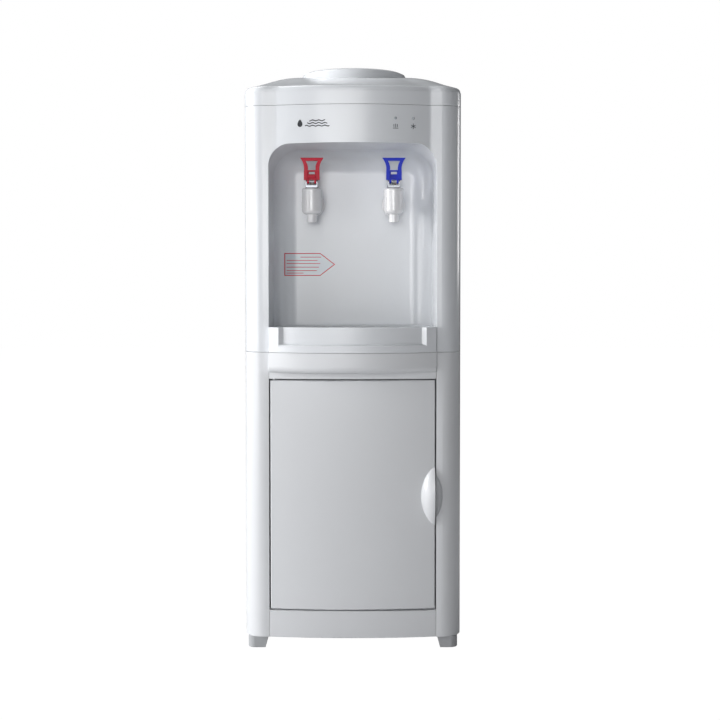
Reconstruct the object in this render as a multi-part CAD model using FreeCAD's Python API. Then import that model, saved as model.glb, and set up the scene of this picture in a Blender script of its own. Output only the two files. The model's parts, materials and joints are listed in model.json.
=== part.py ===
import FreeCAD, Part

import math
import os

V = FreeCAD.Vector

# Floor-standing bottled-water dispenser, all sizes in millimetres.
# +X is the user's right, -Y is the front, +Z is up. The origin is on the floor, under the middle.

# ---------------------------------------------------------------- overall sizes
body_width = 304.0
body_depth = 281.0
front_corner_radius = 28.0
back_corner_radius = 12.0
foot_height = 16.0
plinth_height = 38.0
door_height = 322.0
fascia_height = 37.0
upper_height = 343.0
cover_wall_height = 26.0
cover_rise = 29.5
collar_height = 9.5
crown_step = 0.6
crown_points = 96

# ---------------------------------------------------------------- walls and gaps
wall = 2.5
sheet = 1.2
seam_gap = 0.4
door_gap = 1.8
part_gap = 0.3
pin_gap = 0.05
slide_gap = 0.5

# ---------------------------------------------------------------- front shape
opening_half = 117.0
band_bulge = 17.0
band_half_chord = 107.0
band_blend_radius = 14.0
door_bulge = 8.0
tray_end_step = 8.0
tray_bulge = 24.0
front_moulding_depth = 45.0
rear_bumper = 7.0
bumper_radius = 7.0
bumper_x = 118.0

# ---------------------------------------------------------------- dispensing bay
bay_depth = 80.0
bay_height = 286.0
bay_corner_radius = 25.0
bay_rear_corner_radius = 44.0
bay_draft = 5.0
bay_back_radius = 32.0

# ---------------------------------------------------------------- drip tray
tray_height = 35.0
tray_floor_gap = 0.3
tray_wall = 2.2
tray_corner_radius = 46.0
tray_lip_radius = 2.5
scoop_floor_height = 11.0
scoop_depth = 5.5
scoop_foot_radius = 2.5
scoop_half_back = 96.0
scoop_half_front = 107.5
grille_thickness = 2.4
grille_drop = 1.4
grille_slot_width = 4.0
grille_slot_pitch = 9.0
grille_border = 9.0

# ---------------------------------------------------------------- door and handle
door_thickness = 16.0
door_edge_radius = 1.6
liner_thickness = 1.8
hinge_inset = 5.5
hinge_pin_radius = 2.5
hinge_pin_bite = 5.0
jamb_depth = 26.0
handle_height = 215.0
handle_radius = 22.0
handle_half_length = 49.0
handle_sink = 8.0
finger_half_length = 31.0
finger_width = 9.0
finger_depth = 8.2
magnet_x = 85.0
striker_thickness = 1.0

# ---------------------------------------------------------------- taps
tap_spacing = 116.0
tap_axis_height = 625.5
tap_reach = 46.0
flange_radius = 17.0
flange_thickness = 4.0
shank_radius = 8.0
shank_inside = 16.0
neck_radius = 10.0
tap_body_radius = 14.0
tap_body_wall = 4.0
tap_shoulder_radius = 6.0
tap_rim_radius = 3.2
tap_body_top = 21.5
tap_body_bottom = 15.5
nozzle_radius = 7.3
nozzle_length = 11.0
bonnet_radius = 9.2
bonnet_height = 4.5
bonnet_round = 1.6
ear_inside = 6.9
ear_outside = 8.3
stem_radius = 3.0
pivot_offset = 8.5
pivot_rise = 8.5
pivot_pin_radius = 1.5
lever_height = 34.0
lever_top_width = 33.0
lever_waist_width = 22.0
lever_thickness = 8.0
lever_rail = 5.2
lever_bar = 4.2
lever_window_width = 17.6
cheek_inside = 3.8
cheek_outside = 6.5

# ---------------------------------------------------------------- bottle seat
seat_back = 160.0
ring_outer_radius = 82.0
ring_top_radius = 75.0
throat_radius = 66.0
throat_length = 10.0
funnel_foot_radius = 33.0
funnel_drop = 24.0
gasket_thickness = 1.5
probe_radius = 10.0

# ---------------------------------------------------------------- tanks and cooling
cold_radius = 56.0
cold_height = 104.0
cold_insulation = 17.0
hot_radius = 48.0
hot_height = 122.0
hot_x = -62.0
hot_y = 62.0
tank_wall = 1.2
shelf_height = 640.0
fan_size = 92.0
fan_depth = 18.0
fan_height = 700.0
hose_radius = 5.0
hose_bore = 3.4
fan_hub_radius = 17.0
fan_axle_radius = 2.0
fan_axle_gap = 0.1
fan_blades = 7
fan_blade_half = 7.8

# ---------------------------------------------------------------- feet
foot_depth = 46.0
foot_side_inset = 4.5
foot_front_inset = 3.0
foot_corner_radius = 10.0
foot_inner_bottom = 123.0
foot_inner_top = 118.7

# ---------------------------------------------------------------- back and indicators
switch_x = 104.0
switch_heights = (552.0, 590.0)
rocker_reach = 10.0
rocker_tilt = 8.0
rocker_pin_radius = 1.3
inlet_z = 508.0
drain_radius = 8.0
drain_rise = 20.0
led_radius = 1.8
led_drop = 19.0
led_offsets = (59.5, 84.0)
screw_radius = 3.6

# ---------------------------------------------------------------- derived places
front_y = -(body_depth + tray_end_step + tray_bulge + rear_bumper) / 2 + tray_end_step + tray_bulge
back_y = front_y + body_depth
half_width = body_width / 2
base_z = foot_height
plinth_top = base_z + plinth_height
door_bottom = plinth_top + door_gap
door_top = door_bottom + door_height
fascia_bottom = door_top + door_gap
seam_z = fascia_bottom + fascia_height
cover_seam_z = seam_z + upper_height
crease_z = cover_seam_z + cover_wall_height
crown_z = crease_z + cover_rise
collar_top = crown_z + collar_height
deck_z = seam_z + seam_gap
bay_floor_z = deck_z + wall + seam_gap
bay_top_z = bay_floor_z + bay_height
bay_back_y = front_y + bay_depth
tray_bottom_z = deck_z
tray_top_z = tray_bottom_z + tray_height
seat_y = front_y + seat_back
tap_y = bay_back_y - tap_reach
door_half = opening_half - door_gap
hinge_x = -door_half + hinge_inset
hinge_y = front_y + hinge_inset
fan_y = back_y - sheet - 5.0 - fan_depth / 2
back_half = half_width - back_corner_radius - 6.0
back_panel_y = back_y - sheet
drain_z = deck_z + wall + drain_rise
led_z = cover_seam_z - led_drop


# ---------------------------------------------------------------- helpers
def box(x0, x1, y0, y1, z0, z1):
    """A block between two corners."""
    return Part.makeBox(x1 - x0, y1 - y0, z1 - z0, V(x0, y0, z0))


def rod(radius, start, end):
    """A cylinder from one point to another."""
    way = V(*end) - V(*start)
    return Part.makeCylinder(radius, way.Length, V(*start), way)


def tube(outer, inner, start, end):
    """A round tube from one point to another."""
    return rod(outer, start, end).cut(rod(inner, start, end))


def fuse(*shapes):
    """One solid from several that touch."""
    whole = shapes[0].multiFuse(list(shapes[1:])) if len(shapes) > 1 else shapes[0]
    return whole.removeSplitter()


def group(*shapes):
    """Separate solids kept in one node."""
    return Part.makeCompound([solid for shape in shapes for solid in shape.Solids])


def arc(a, b, c):
    """An arc edge through three plan points at height zero."""
    return Part.Arc(V(*a), V(*b), V(*c)).toShape()


def line(a, b):
    """A straight edge between two plan points at height zero."""
    return Part.makeLine(V(*a), V(*b))


def prism(wire, z0, z1):
    """The plan wire raised from one height to another."""
    face = Part.Face(wire)
    face.translate(V(0, 0, z0))
    return face.extrude(V(0, 0, z1 - z0))


def inset(wire, distance):
    """The plan wire moved inwards by a distance."""
    return wire.makeOffset2D(-distance)


def edges_where(shape, test):
    """The edges whose middle point passes a test."""
    found = []
    for edge in shape.Edges:
        middle = edge.valueAt((edge.FirstParameter + edge.LastParameter) / 2)
        if test(edge, middle):
            found.append(edge)
    return found


def upright(edge):
    """True for a straight vertical edge."""
    if not isinstance(edge.Curve, Part.Line):
        return False
    return abs(edge.tangentAt(edge.FirstParameter).z) > 0.99


def round_plan(half, y0, y1, front_radius, rear_radius):
    """A rectangle in plan with rounded front and back corners."""
    q = math.sqrt(0.5)
    f = front_radius
    r = rear_radius
    pieces = [line((half - f, y0), (-half + f, y0))]
    pieces.append(arc((-half + f, y0), (-half + f - f * q, y0 + f - f * q), (-half, y0 + f)))
    pieces.append(line((-half, y0 + f), (-half, y1 - r)))
    pieces.append(arc((-half, y1 - r), (-half + r - r * q, y1 - r + r * q), (-half + r, y1)))
    pieces.append(line((-half + r, y1), (half - r, y1)))
    pieces.append(arc((half - r, y1), (half - r + r * q, y1 - r + r * q), (half, y1 - r)))
    pieces.append(line((half, y1 - r), (half, y0 + f)))
    pieces.append(arc((half, y0 + f), (half - f + f * q, y0 + f - f * q), (half - f, y0)))
    return Part.Wire(Part.__sortEdges__(pieces))


def bulged_plan(half, y0, y1, front_radius, rear_radius, chord, bulge, blend):
    """The rounded rectangle with a bulged front, blended into the flats beside it."""
    q = math.sqrt(0.5)
    f = front_radius
    r = rear_radius
    radius = (chord * chord + bulge * bulge) / (2 * bulge)
    centre_y = y0 - bulge + radius
    blend_x = math.sqrt((radius + blend) ** 2 - (y0 - blend - centre_y) ** 2)
    to_blend = V(blend_x, y0 - blend - centre_y, 0).normalize()
    touch = V(0, centre_y, 0) + to_blend * radius
    turn = math.atan2(centre_y - (y0 - blend), blend_x)
    middle_angle = (math.pi - turn + math.pi / 2) / 2
    mid_x = blend_x + blend * math.cos(middle_angle)
    mid_y = y0 - blend + blend * math.sin(middle_angle)
    pieces = [arc((touch.x, touch.y), (0, y0 - bulge), (-touch.x, touch.y))]
    for side in (-1, 1):
        pieces.append(arc((side * touch.x, touch.y), (side * mid_x, mid_y), (side * blend_x, y0)))
        pieces.append(line((side * blend_x, y0), (side * (half - f), y0)))
        corner = (side * (half - f + f * q), y0 + f - f * q)
        pieces.append(arc((side * (half - f), y0), corner, (side * half, y0 + f)))
        pieces.append(line((side * half, y0 + f), (side * half, y1 - r)))
        corner = (side * (half - r + r * q), y1 - r + r * q)
        pieces.append(arc((side * half, y1 - r), corner, (side * (half - r), y1)))
    pieces.append(line((-half + r, y1), (half - r, y1)))
    return Part.Wire(Part.__sortEdges__(pieces))


def bow(half_chord, chord_y, bulge, back):
    """A plan with straight sides and back and an arc for its front."""
    left = (-half_chord, chord_y)
    right = (half_chord, chord_y)
    pieces = [arc(left, (0, chord_y - bulge), right)]
    pieces.append(line(right, (half_chord, back)))
    pieces.append(line((half_chord, back), (-half_chord, back)))
    pieces.append(line((-half_chord, back), left))
    return Part.Wire(Part.__sortEdges__(pieces))


def bow_y(x, half_chord, chord_y, bulge):
    """The front of a bow at a distance from the middle."""
    radius = (half_chord * half_chord + bulge * bulge) / (2 * bulge)
    return chord_y - bulge + radius - math.sqrt(radius * radius - x * x)


def lathe(points, x, y):
    """A solid turned about an upright axis from (radius, height) points."""
    wire = Part.makePolygon([V(x + r, y, z) for r, z in points + points[:1]])
    return Part.Face(wire).revolve(V(x, y, 0), V(0, 0, 1), 360)


def spindle_shape(radius, half_length):
    """An upright spindle about the origin, pointed above and below."""
    side = Part.Arc(V(0, 0, -half_length), V(radius, 0, 0), V(0, 0, half_length)).toShape().toNurbs()
    spine = Part.makeLine(V(0, 0, half_length), V(0, 0, -half_length))
    return Part.Face(Part.Wire(side.Edges + [spine])).revolve(V(0, 0, 0), V(0, 0, 1), 360)


def hose(points, outer, inner):
    """A hose along straight runs joined by the largest arcs that each pair of runs allows."""
    corners = [V(*p) for p in points]
    edges = []
    start = corners[0]
    for before, corner, after in zip(corners, corners[1:], corners[2:]):
        run_in = before - corner
        run_out = after - corner
        half_turn = (math.pi - run_in.getAngle(run_out)) / 2
        cut_back = 0.45 * min(run_in.Length, run_out.Length)
        radius = cut_back / math.tan(half_turn)
        inward = (run_in.normalize() + run_out.normalize()).normalize()
        touch_in = corner + run_in * cut_back
        touch_out = corner + run_out * cut_back
        reach = radius / math.cos(half_turn) - radius
        print("hose bend radius", round(radius, 1))
        edges.append(Part.makeLine(start, touch_in))
        edges.append(Part.Arc(touch_in, corner + inward * reach, touch_out).toShape())
        start = touch_out
    edges.append(Part.makeLine(start, corners[-1]))
    path = Part.Wire(edges)
    way = corners[1] - corners[0]
    solids = []
    for radius in (outer, inner):
        ring = Part.Wire(Part.makeCircle(radius, corners[0], way))
        solids.append(path.makePipeShell([ring], True, False))
    return solids[0].cut(solids[1])


parts = {}


# ---------------------------------------------------------------- lower housing
def lower_ring():
    """The lower housing's whole outside wall."""
    plan = round_plan(half_width, front_y, back_y, front_corner_radius, back_corner_radius)
    return prism(plan, base_z, seam_z).cut(prism(inset(plan, wall), base_z, seam_z))


def finger_scoop(grow):
    """The hollow beside the handle, as an upright spindle, grown by a wall."""
    spindle = spindle_shape(finger_width + grow, finger_half_length + grow)
    spindle.translate(V(opening_half, front_y - finger_width + finger_depth, handle_height))
    return spindle


def lower_housing():
    """Base, feet, side panels with their jambs, plinth, fascia, back and cabinet top."""
    ring = lower_ring()
    low = base_z
    high = seam_z
    for side, name in ((-1, "left"), (1, "right")):
        reach = sorted((side * opening_half, side * (half_width + 1)))
        keep_front = box(*reach, front_y - 1, back_y - back_corner_radius, low, high)
        reach = sorted((side * back_half, side * (half_width + 1)))
        keep_back = box(*reach, back_y - back_corner_radius, back_y + 1, low, high)
        panel = ring.common(fuse(keep_front, keep_back))
        reach = sorted((side * opening_half, side * (opening_half + wall)))
        jamb = box(*reach, front_y + 0.4, front_y + jamb_depth, low, high)
        panel = fuse(panel, jamb)
        if side > 0:
            cup = finger_scoop(wall).common(box(opening_half, 300, front_y + 0.4, 300, low, high))
            panel = fuse(panel, cup).cut(finger_scoop(0))
        parts[name + "_side_panel_lower"] = panel

    plan = round_plan(half_width, front_y, back_y, front_corner_radius, back_corner_radius)
    inner = inset(plan, wall + part_gap)
    floor = prism(inner, low, low + wall)
    jambs = []
    for side in (-1, 1):
        reach = sorted((side * (opening_half - part_gap), side * (opening_half + wall + part_gap)))
        jambs.append(box(*reach, front_y - 1, front_y + jamb_depth + part_gap, low - 1, low + wall + 1))
    front_strip = box(-opening_half - 1, opening_half + 1, front_y - 1, front_y + jamb_depth + part_gap, 0, 99)
    parts["base_plate"] = floor.cut(fuse(*jambs)).cut(front_strip)

    feet = []
    foot_side = half_width - foot_side_inset
    plan = round_plan(foot_side, front_y + foot_front_inset, back_y - foot_front_inset,
                      foot_corner_radius, foot_corner_radius)
    whole = prism(plan, 0, foot_height)
    for side in (-1, 1):
        for y0, y1 in ((front_y, front_y + foot_depth), (back_y - foot_depth, back_y)):
            outer_x = side * half_width
            profile = [V(outer_x, y0, 0), V(side * foot_inner_bottom, y0, 0),
                       V(side * foot_inner_top, y0, foot_height),
                       V(outer_x, y0, foot_height), V(outer_x, y0, 0)]
            block = Part.Face(Part.makePolygon(profile)).extrude(V(0, y1 - y0, 0))
            foot = whole.common(block)
            rims = edges_where(foot, lambda e, m: m.z < 0.01)
            feet.append(foot.makeFillet(1.2, rims))
    parts["feet"] = group(*feet)

    side_room = opening_half - part_gap
    plan = bow(side_room, front_y, door_bulge, front_y + jamb_depth)
    body = prism(plan, low, plinth_top)
    hollow = prism(bow(side_room - wall, front_y + wall, door_bulge, front_y + jamb_depth + 5),
                   low - 1, plinth_top - wall)
    body = body.makeFillet(1.2, edges_where(body, lambda e, m: m.y < front_y - 0.1 and not upright(e)))
    plinth = body.cut(hollow)
    boss = rod(hinge_pin_radius + 2.5, (hinge_x, hinge_y, plinth_top - wall - 6), (hinge_x, hinge_y, plinth_top - 1))
    bore = rod(hinge_pin_radius + pin_gap, (hinge_x, hinge_y, low), (hinge_x, hinge_y, plinth_top + 1))
    parts["plinth"] = fuse(plinth, boss).cut(bore)

    chin_z = fascia_bottom + 9.0
    band = prism(bow(side_room, front_y, door_bulge, front_y + jamb_depth), fascia_bottom, seam_z - 0.1)
    end_y = front_y - tray_end_step
    chin = prism(bow(side_room, end_y, tray_bulge, front_y + 5), chin_z, seam_z)
    chin = chin.makeFillet(9.0, edges_where(chin, lambda e, m: m.z < chin_z + 0.1 and m.y < end_y - 1))
    body = fuse(band, chin)
    inner_band = prism(bow(side_room - wall, front_y + wall, door_bulge, front_y + jamb_depth + 5),
                       fascia_bottom + wall, seam_z - wall)
    inner_chin = prism(bow(side_room - wall, end_y + wall, tray_bulge, front_y + 10),
                       chin_z + wall + 6, seam_z - wall)
    fascia = body.cut(fuse(inner_band, inner_chin))
    boss = rod(hinge_pin_radius + 2.5, (hinge_x, hinge_y, fascia_bottom + 1), (hinge_x, hinge_y, fascia_bottom + 9))
    bore = rod(hinge_pin_radius + pin_gap, (hinge_x, hinge_y, fascia_bottom - 1), (hinge_x, hinge_y, seam_z - wall))
    parts["tray_fascia"] = fuse(fascia, boss).cut(bore)


# ---------------------------------------------------------------- door
def handle_spindle(radius, half_length):
    """The grip as an upright spindle on the door's free edge."""
    spindle = spindle_shape(radius, half_length)
    face_y = bow_y(door_half, door_half, front_y, door_bulge)
    spindle.translate(V(door_half, face_y + handle_sink, handle_height))
    return spindle


def door():
    """Outer panel with its grip, inner liner, hinge pins and the steel striker."""
    plan = bow(door_half, front_y, door_bulge, front_y + door_thickness)
    body = prism(plan, door_bottom, door_top)
    rims = edges_where(body, lambda e, m: m.y < front_y + 0.1)
    body = body.makeFillet(door_edge_radius, rims)
    grip = handle_spindle(handle_radius, handle_half_length)
    front_half = box(0, door_half, front_y - 60, front_y + wall, door_bottom, door_top)
    body = fuse(body, grip.common(front_half))
    hollow = prism(bow(door_half - wall, front_y + wall, door_bulge, front_y + door_thickness + 5),
                   door_bottom + wall, door_top - wall)
    finger_room = handle_spindle(handle_radius - wall, handle_half_length - wall)
    mouth = box(0, door_half + 1, front_y - 60, front_y + door_thickness - liner_thickness - 2, 0, 999)
    body = body.cut(hollow).cut(finger_room.common(mouth))
    pocket_wall = handle_spindle(handle_radius, handle_half_length)
    pocket_wall = pocket_wall.cut(handle_spindle(handle_radius - wall, handle_half_length - wall))
    pocket_wall = pocket_wall.common(box(0, door_half, front_y + wall, front_y + door_thickness - liner_thickness - 1,
                                         0, 999))
    body = fuse(body, pocket_wall)
    bosses = []
    for z0, z1 in ((door_bottom + 1, door_bottom + 14), (door_top - 14, door_top - 1)):
        bosses.append(rod(hinge_pin_radius + 2.2, (hinge_x, hinge_y + 1, z0), (hinge_x, hinge_y + 1, z1)))
    body = fuse(body, *bosses)
    pins = []
    for z0, z1 in ((door_bottom - hinge_pin_bite, door_bottom + 12), (door_top - 12, door_top + hinge_pin_bite)):
        pins.append(rod(hinge_pin_radius, (hinge_x, hinge_y, z0), (hinge_x, hinge_y, z1)))
    parts["door_panel"] = body.cut(group(*pins))
    parts["door_hinge_pins"] = group(*pins)

    reach = door_half - wall - part_gap
    back = front_y + door_thickness
    liner = box(-reach, reach, back - liner_thickness, back,
                door_bottom + wall + part_gap, door_top - wall - part_gap)
    liner = liner.makeFillet(0.6, edges_where(liner, lambda e, m: m.y > back - 0.01))
    for row in (0.3, 0.7):
        z = door_bottom + row * door_height
        rib = box(-70, 70, back - liner_thickness - 3, back - liner_thickness, z - 1, z + 1)
        liner = fuse(liner, rib)
    parts["door_liner"] = liner
    parts["door_striker"] = box(magnet_x - 15, magnet_x + 15, back, back + striker_thickness,
                                door_top - 24, door_top - 8)
    latch_y = back + striker_thickness + part_gap
    holder = box(magnet_x - 19, magnet_x + 19, latch_y + 2, latch_y + 22, fascia_bottom - 22, fascia_bottom)
    holder = holder.makeFillet(1.0, edges_where(holder, lambda e, m: upright(e)))
    magnet = box(magnet_x - 13, magnet_x + 13, latch_y, latch_y + 8, fascia_bottom - 19, fascia_bottom - 9)
    parts["door_magnet"] = magnet
    parts["magnet_holder"] = holder.cut(magnet)


# ---------------------------------------------------------------- upper housing
def upper_plan():
    """The upper housing's plan, with the bulged band."""
    return bulged_plan(half_width, front_y, back_y, front_corner_radius, back_corner_radius,
                       band_half_chord, band_bulge, band_blend_radius)


def bay_section(y, half, z0, z1, radius):
    """One upright section of the bay, rounded above."""
    q = math.sqrt(0.5)
    r = radius
    edges = [Part.makeLine(V(-half, y, z0), V(half, y, z0))]
    for side in (-1, 1):
        edges.append(Part.makeLine(V(side * half, y, z0), V(side * half, y, z1 - r)))
        edges.append(Part.Arc(V(side * half, y, z1 - r), V(side * (half - r + r * q), y, z1 - r + r * q),
                              V(side * (half - r), y, z1)).toShape())
    edges.append(Part.makeLine(V(half - r, y, z1), V(-half + r, y, z1)))
    return Part.Wire(Part.__sortEdges__(edges))


def bay_block(grow):
    """The bay's space, grown outwards by a wall, wider at its mouth than at its back."""
    mouth_y = front_y - band_bulge - 10
    back = bay_back_y + grow
    slope = bay_draft / bay_depth
    mouth_more = slope * (front_y - mouth_y)
    back_less = slope * (back - front_y)
    mouth = bay_section(mouth_y, opening_half + mouth_more + grow, bay_floor_z - grow,
                        bay_top_z + mouth_more + grow, bay_corner_radius + grow)
    rear = bay_section(back, opening_half - back_less + grow, bay_floor_z - grow,
                       bay_top_z - back_less + grow, bay_rear_corner_radius + grow)
    block = Part.makeLoft([mouth, rear], True, True)
    rims = edges_where(block, lambda e, m: abs(m.y - back) < 0.01 and m.z > bay_floor_z + 1)
    return block.makeFillet(bay_back_radius + grow, rims)


def led_places():
    """The two indicator windows on the band: x and the panel's front y there."""
    places = []
    for x in led_offsets:
        places.append((x, bow_y(x, band_half_chord, front_y, band_bulge)))
    return places


def upper_housing():
    """Front moulding with its bay, side panels, back panel and top cover."""
    low = deck_z
    high = cover_seam_z - seam_gap
    plan = upper_plan()
    ring = prism(plan, low, high).cut(prism(inset(plan, wall), low, high))
    split_y = front_y + front_moulding_depth

    moulding = ring.common(box(-200, 200, front_y - 60, split_y, low, high))
    below_bay = box(-opening_half, opening_half, front_y - 60, front_y + wall + 1, low, bay_floor_z + 40)
    moulding = moulding.cut(below_bay)
    shell = bay_block(wall).cut(bay_block(0))
    trim = prism(plan, low, high)
    shell = shell.common(trim)
    under_nose = box(-half_width, half_width, front_y - 60, front_y + 0.5, low - 1, bay_floor_z + 1)
    moulding = fuse(moulding.cut(bay_block(0)), shell.cut(under_nose))
    for x, y in led_places():
        moulding = moulding.cut(rod(led_radius + pin_gap, (x, y - 20, led_z), (x, y + 20, led_z)))
    for side in (-1, 1):
        x = side * tap_spacing / 2
        moulding = moulding.cut(rod(shank_radius + part_gap, (x, bay_back_y - 5, tap_axis_height),
                                    (x, bay_back_y + 9, tap_axis_height)))
    parts["front_moulding"] = moulding

    rear_cut = back_y - back_corner_radius
    for side, name in ((-1, "left"), (1, "right")):
        reach = sorted((side * (half_width - 6), side * (half_width + 1)))
        keep = box(*reach, split_y + seam_gap, rear_cut, low, high)
        reach = sorted((side * back_half, side * (half_width + 1)))
        keep_back = box(*reach, rear_cut, back_y + 1, low, high)
        parts[name + "_side_panel_upper"] = ring.common(fuse(keep, keep_back))

    reach = back_half - part_gap
    rear = box(-reach, reach, back_panel_y, back_y, base_z + wall + part_gap, high)
    rear = rear.cut(rear_openings())
    bumpers = []
    for side in (-1, 1):
        for z in (low + 30, high - 30):
            start = (side * bumper_x, back_y - 0.1, z)
            bumpers.append(rod(bumper_radius, start, (side * bumper_x, back_y + rear_bumper, z)))
    rear = fuse(rear, *bumpers)
    rear = rear.makeFillet(1.5, edges_where(rear, lambda e, m: m.y > back_y + rear_bumper - 0.01))
    parts["back_panel"] = rear


def rear_openings():
    """What is cut through the back panel: louvres, fan slots, switches, inlet and drain."""
    cuts = []
    slot = 4.0
    for row in range(8):
        z = base_z + 90 + row * 14
        cuts.append(box(-60, 60, back_panel_y - 1, back_y + 1, z - slot / 2, z + slot / 2))
    for row in range(9):
        z = fan_height - 40 + row * 10
        width = 88.0 if 0 < row < 8 else 70.0
        cuts.append(box(-width / 2, width / 2, back_panel_y - 1, back_y + 1, z - slot / 2, z + slot / 2))
    for z in switch_heights:
        cuts.append(box(switch_x - 7.5, switch_x + 7.5, back_panel_y - 1, back_y + 1, z - 12.5, z + 12.5))
    cuts.append(box(switch_x - 14, switch_x + 14, back_panel_y - 1, back_y + 1, inlet_z - 10.5, inlet_z + 10.5))
    cuts.append(rod(drain_radius + part_gap, (hot_x, back_panel_y - 1, drain_z), (hot_x, back_y + 1, drain_z)))
    return group(*cuts)


def cover_section(z, front_in, side_in, back_in, bulge):
    """One level outline of the top cover, as a single smooth closed curve."""
    half = half_width - side_in
    y0 = front_y + front_in
    y1 = back_y - back_in
    chord = band_half_chord - side_in
    wire = bulged_plan(half, y0, y1, front_corner_radius, back_corner_radius, chord, bulge, band_blend_radius)
    points = wire.discretize(crown_points + 1)[:-1]
    curve = Part.BSplineCurve()
    curve.interpolate([V(q.x, q.y, z) for q in points], PeriodicFlag=True)
    return Part.Wire(curve.toShape())


# height above the wall, inset at the front, sides and back, and share of the band's bulge
shoulder_levels = ((0.0, 0.0, 0.0, 0.0, 1.0), (2.6, 0.15, 0.5, 0.5, 1.0),
                   (4.7, 0.5, 1.7, 1.7, 0.99), (6.0, 1.2, 3.6, 3.6, 0.98))
crown_levels = (shoulder_levels[-1], (13.0, 27.0, 15.0, 7.0, 0.92), (21.0, 58.0, 25.0, 11.0, 0.8),
                (29.5, 88.0, 38.5, 17.0, 0.55), (35.5, 120.0, 50.0, 27.0, 0.3))
shoulder_z = crown_z - crown_levels[-1][0]


def cover_sections(levels, drop):
    """The cover's outlines at several levels, a small step in from the wall, lowered and drawn in by a drop."""
    sections = []
    step = crown_step + drop
    for height, front_in, side_in, back_in, bulge in levels:
        sections.append(cover_section(shoulder_z + height - drop, front_in + step, side_in + step,
                                      back_in + step, band_bulge * bulge))
    return sections


def cover_crown(drop):
    """The cover's rounded shoulder and its sloping top."""
    foot = ((-wall / 2, 0.0, 0.0, 0.0, 1.0),)
    shoulder = Part.makeLoft(cover_sections(foot + shoulder_levels, drop), True, False)
    return shoulder, Part.makeLoft(cover_sections(crown_levels, drop), True, False)


def top_cover():
    """The cap over the tank, open in the middle for the bottle seat."""
    plan = upper_plan()
    shoulder, crown = cover_crown(0)
    outer = prism(plan, cover_seam_z, shoulder_z - crown_step).fuse(shoulder).fuse(crown)
    shoulder, crown = cover_crown(wall)
    inner = prism(inset(plan, wall), cover_seam_z - 1, shoulder_z - wall - crown_step).fuse(shoulder).fuse(crown)
    hole = rod(ring_outer_radius + slide_gap, (0, seat_y, cover_seam_z - 5), (0, seat_y, collar_top + 5))
    parts["top_cover"] = outer.cut(inner).cut(hole)


# ---------------------------------------------------------------- drip tray
def drip_tray():
    """The pull-out tray with its bowed front, and the slotted grille that lies in it."""
    slope = bay_draft / bay_depth
    back = bay_back_y - slide_gap
    end_y = front_y - tray_end_step
    front_half = opening_half - slide_gap
    back_half_width = opening_half - slope * bay_depth - slide_gap - 1.0
    floor_z = bay_floor_z + tray_floor_gap
    nose = prism(bow(front_half, end_y, tray_bulge, front_y - slide_gap), tray_bottom_z, tray_top_z)
    corner = tray_corner_radius
    q = math.sqrt(0.5)
    plan = [line((-front_half + 1, front_y - 3), (front_half - 1, front_y - 3))]
    for side in (-1, 1):
        plan.append(line((side * (front_half - 1), front_y - 3), (side * back_half_width, back - corner)))
        plan.append(arc((side * back_half_width, back - corner),
                        (side * (back_half_width - corner + corner * q), back - corner + corner * q),
                        (side * (back_half_width - corner), back)))
    plan.append(line((-back_half_width + corner, back), (back_half_width - corner, back)))
    body_plan = Part.Wire(Part.__sortEdges__(plan))
    body = fuse(nose, prism(body_plan, floor_z, tray_top_z))
    cutter_back = end_y + scoop_depth
    z0 = tray_bottom_z + scoop_floor_height
    inner_y = bow_y(scoop_half_back, front_half, cutter_back, tray_bulge)
    outer_y = end_y - tray_bulge - 5
    rise = scoop_half_front + (scoop_half_front - scoop_half_back)
    edges = [arc((-scoop_half_back, inner_y), (0, cutter_back - tray_bulge), (scoop_half_back, inner_y))]
    for side in (-1, 1):
        edges.append(line((side * scoop_half_back, inner_y), (side * rise, inner_y - 2 * scoop_depth)))
        edges.append(line((side * rise, inner_y - 2 * scoop_depth), (side * rise, outer_y)))
    edges.append(line((-rise, outer_y), (rise, outer_y)))
    scoop = prism(Part.Wire(Part.__sortEdges__(edges)), z0, tray_top_z + 1)
    foot = edges_where(scoop, lambda e, m: m.z < z0 + 0.01 and not isinstance(e.Curve, Part.Line))
    scoop = scoop.makeFillet(scoop_foot_radius, foot)
    body = body.cut(scoop)
    lip = edges_where(body, lambda e, m: abs(m.z - z0) < 0.01 and m.y < cutter_back - tray_bulge - 1)
    body = body.makeFillet(tray_lip_radius, lip)
    basin_plan = inset(body_plan, tray_wall)
    basin = prism(basin_plan, floor_z + tray_wall, tray_top_z - grille_thickness - grille_drop)
    basin_nose = prism(bow(scoop_half_back - 6, end_y + scoop_depth + tray_wall + 1, tray_bulge, front_y + 2),
                       floor_z + tray_wall + 6, tray_top_z - grille_thickness - grille_drop)
    ledge = inset(body_plan, tray_wall / 2)
    seat_z = tray_top_z - grille_thickness - grille_drop
    seat = prism(ledge, seat_z, tray_top_z + 1)
    tray = body.cut(fuse(basin, basin_nose)).cut(seat)
    parts["drip_tray"] = tray

    plate = prism(inset(ledge, slide_gap), seat_z, seat_z + grille_thickness)
    cuts = []
    slots_wide = 3
    margin = 12.0
    gap_x = 8.0
    usable = 2 * (back_half_width - margin)
    length = (usable - gap_x * (slots_wide - 1)) / slots_wide
    rows = int((back - front_y - 2 * margin) / grille_slot_pitch)
    for row in range(rows + 1):
        y = front_y + margin + row * grille_slot_pitch
        for column in range(slots_wide):
            x = -usable / 2 + column * (length + gap_x)
            cuts.append(box(x, x + length, y - grille_slot_width / 2, y + grille_slot_width / 2,
                            seat_z - 1, seat_z + grille_thickness + 1))
    slotted = prism(inset(ledge, grille_border), seat_z - 1, seat_z + grille_thickness + 1)
    parts["drip_grille"] = plate.cut(group(*cuts).common(slotted))


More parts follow.
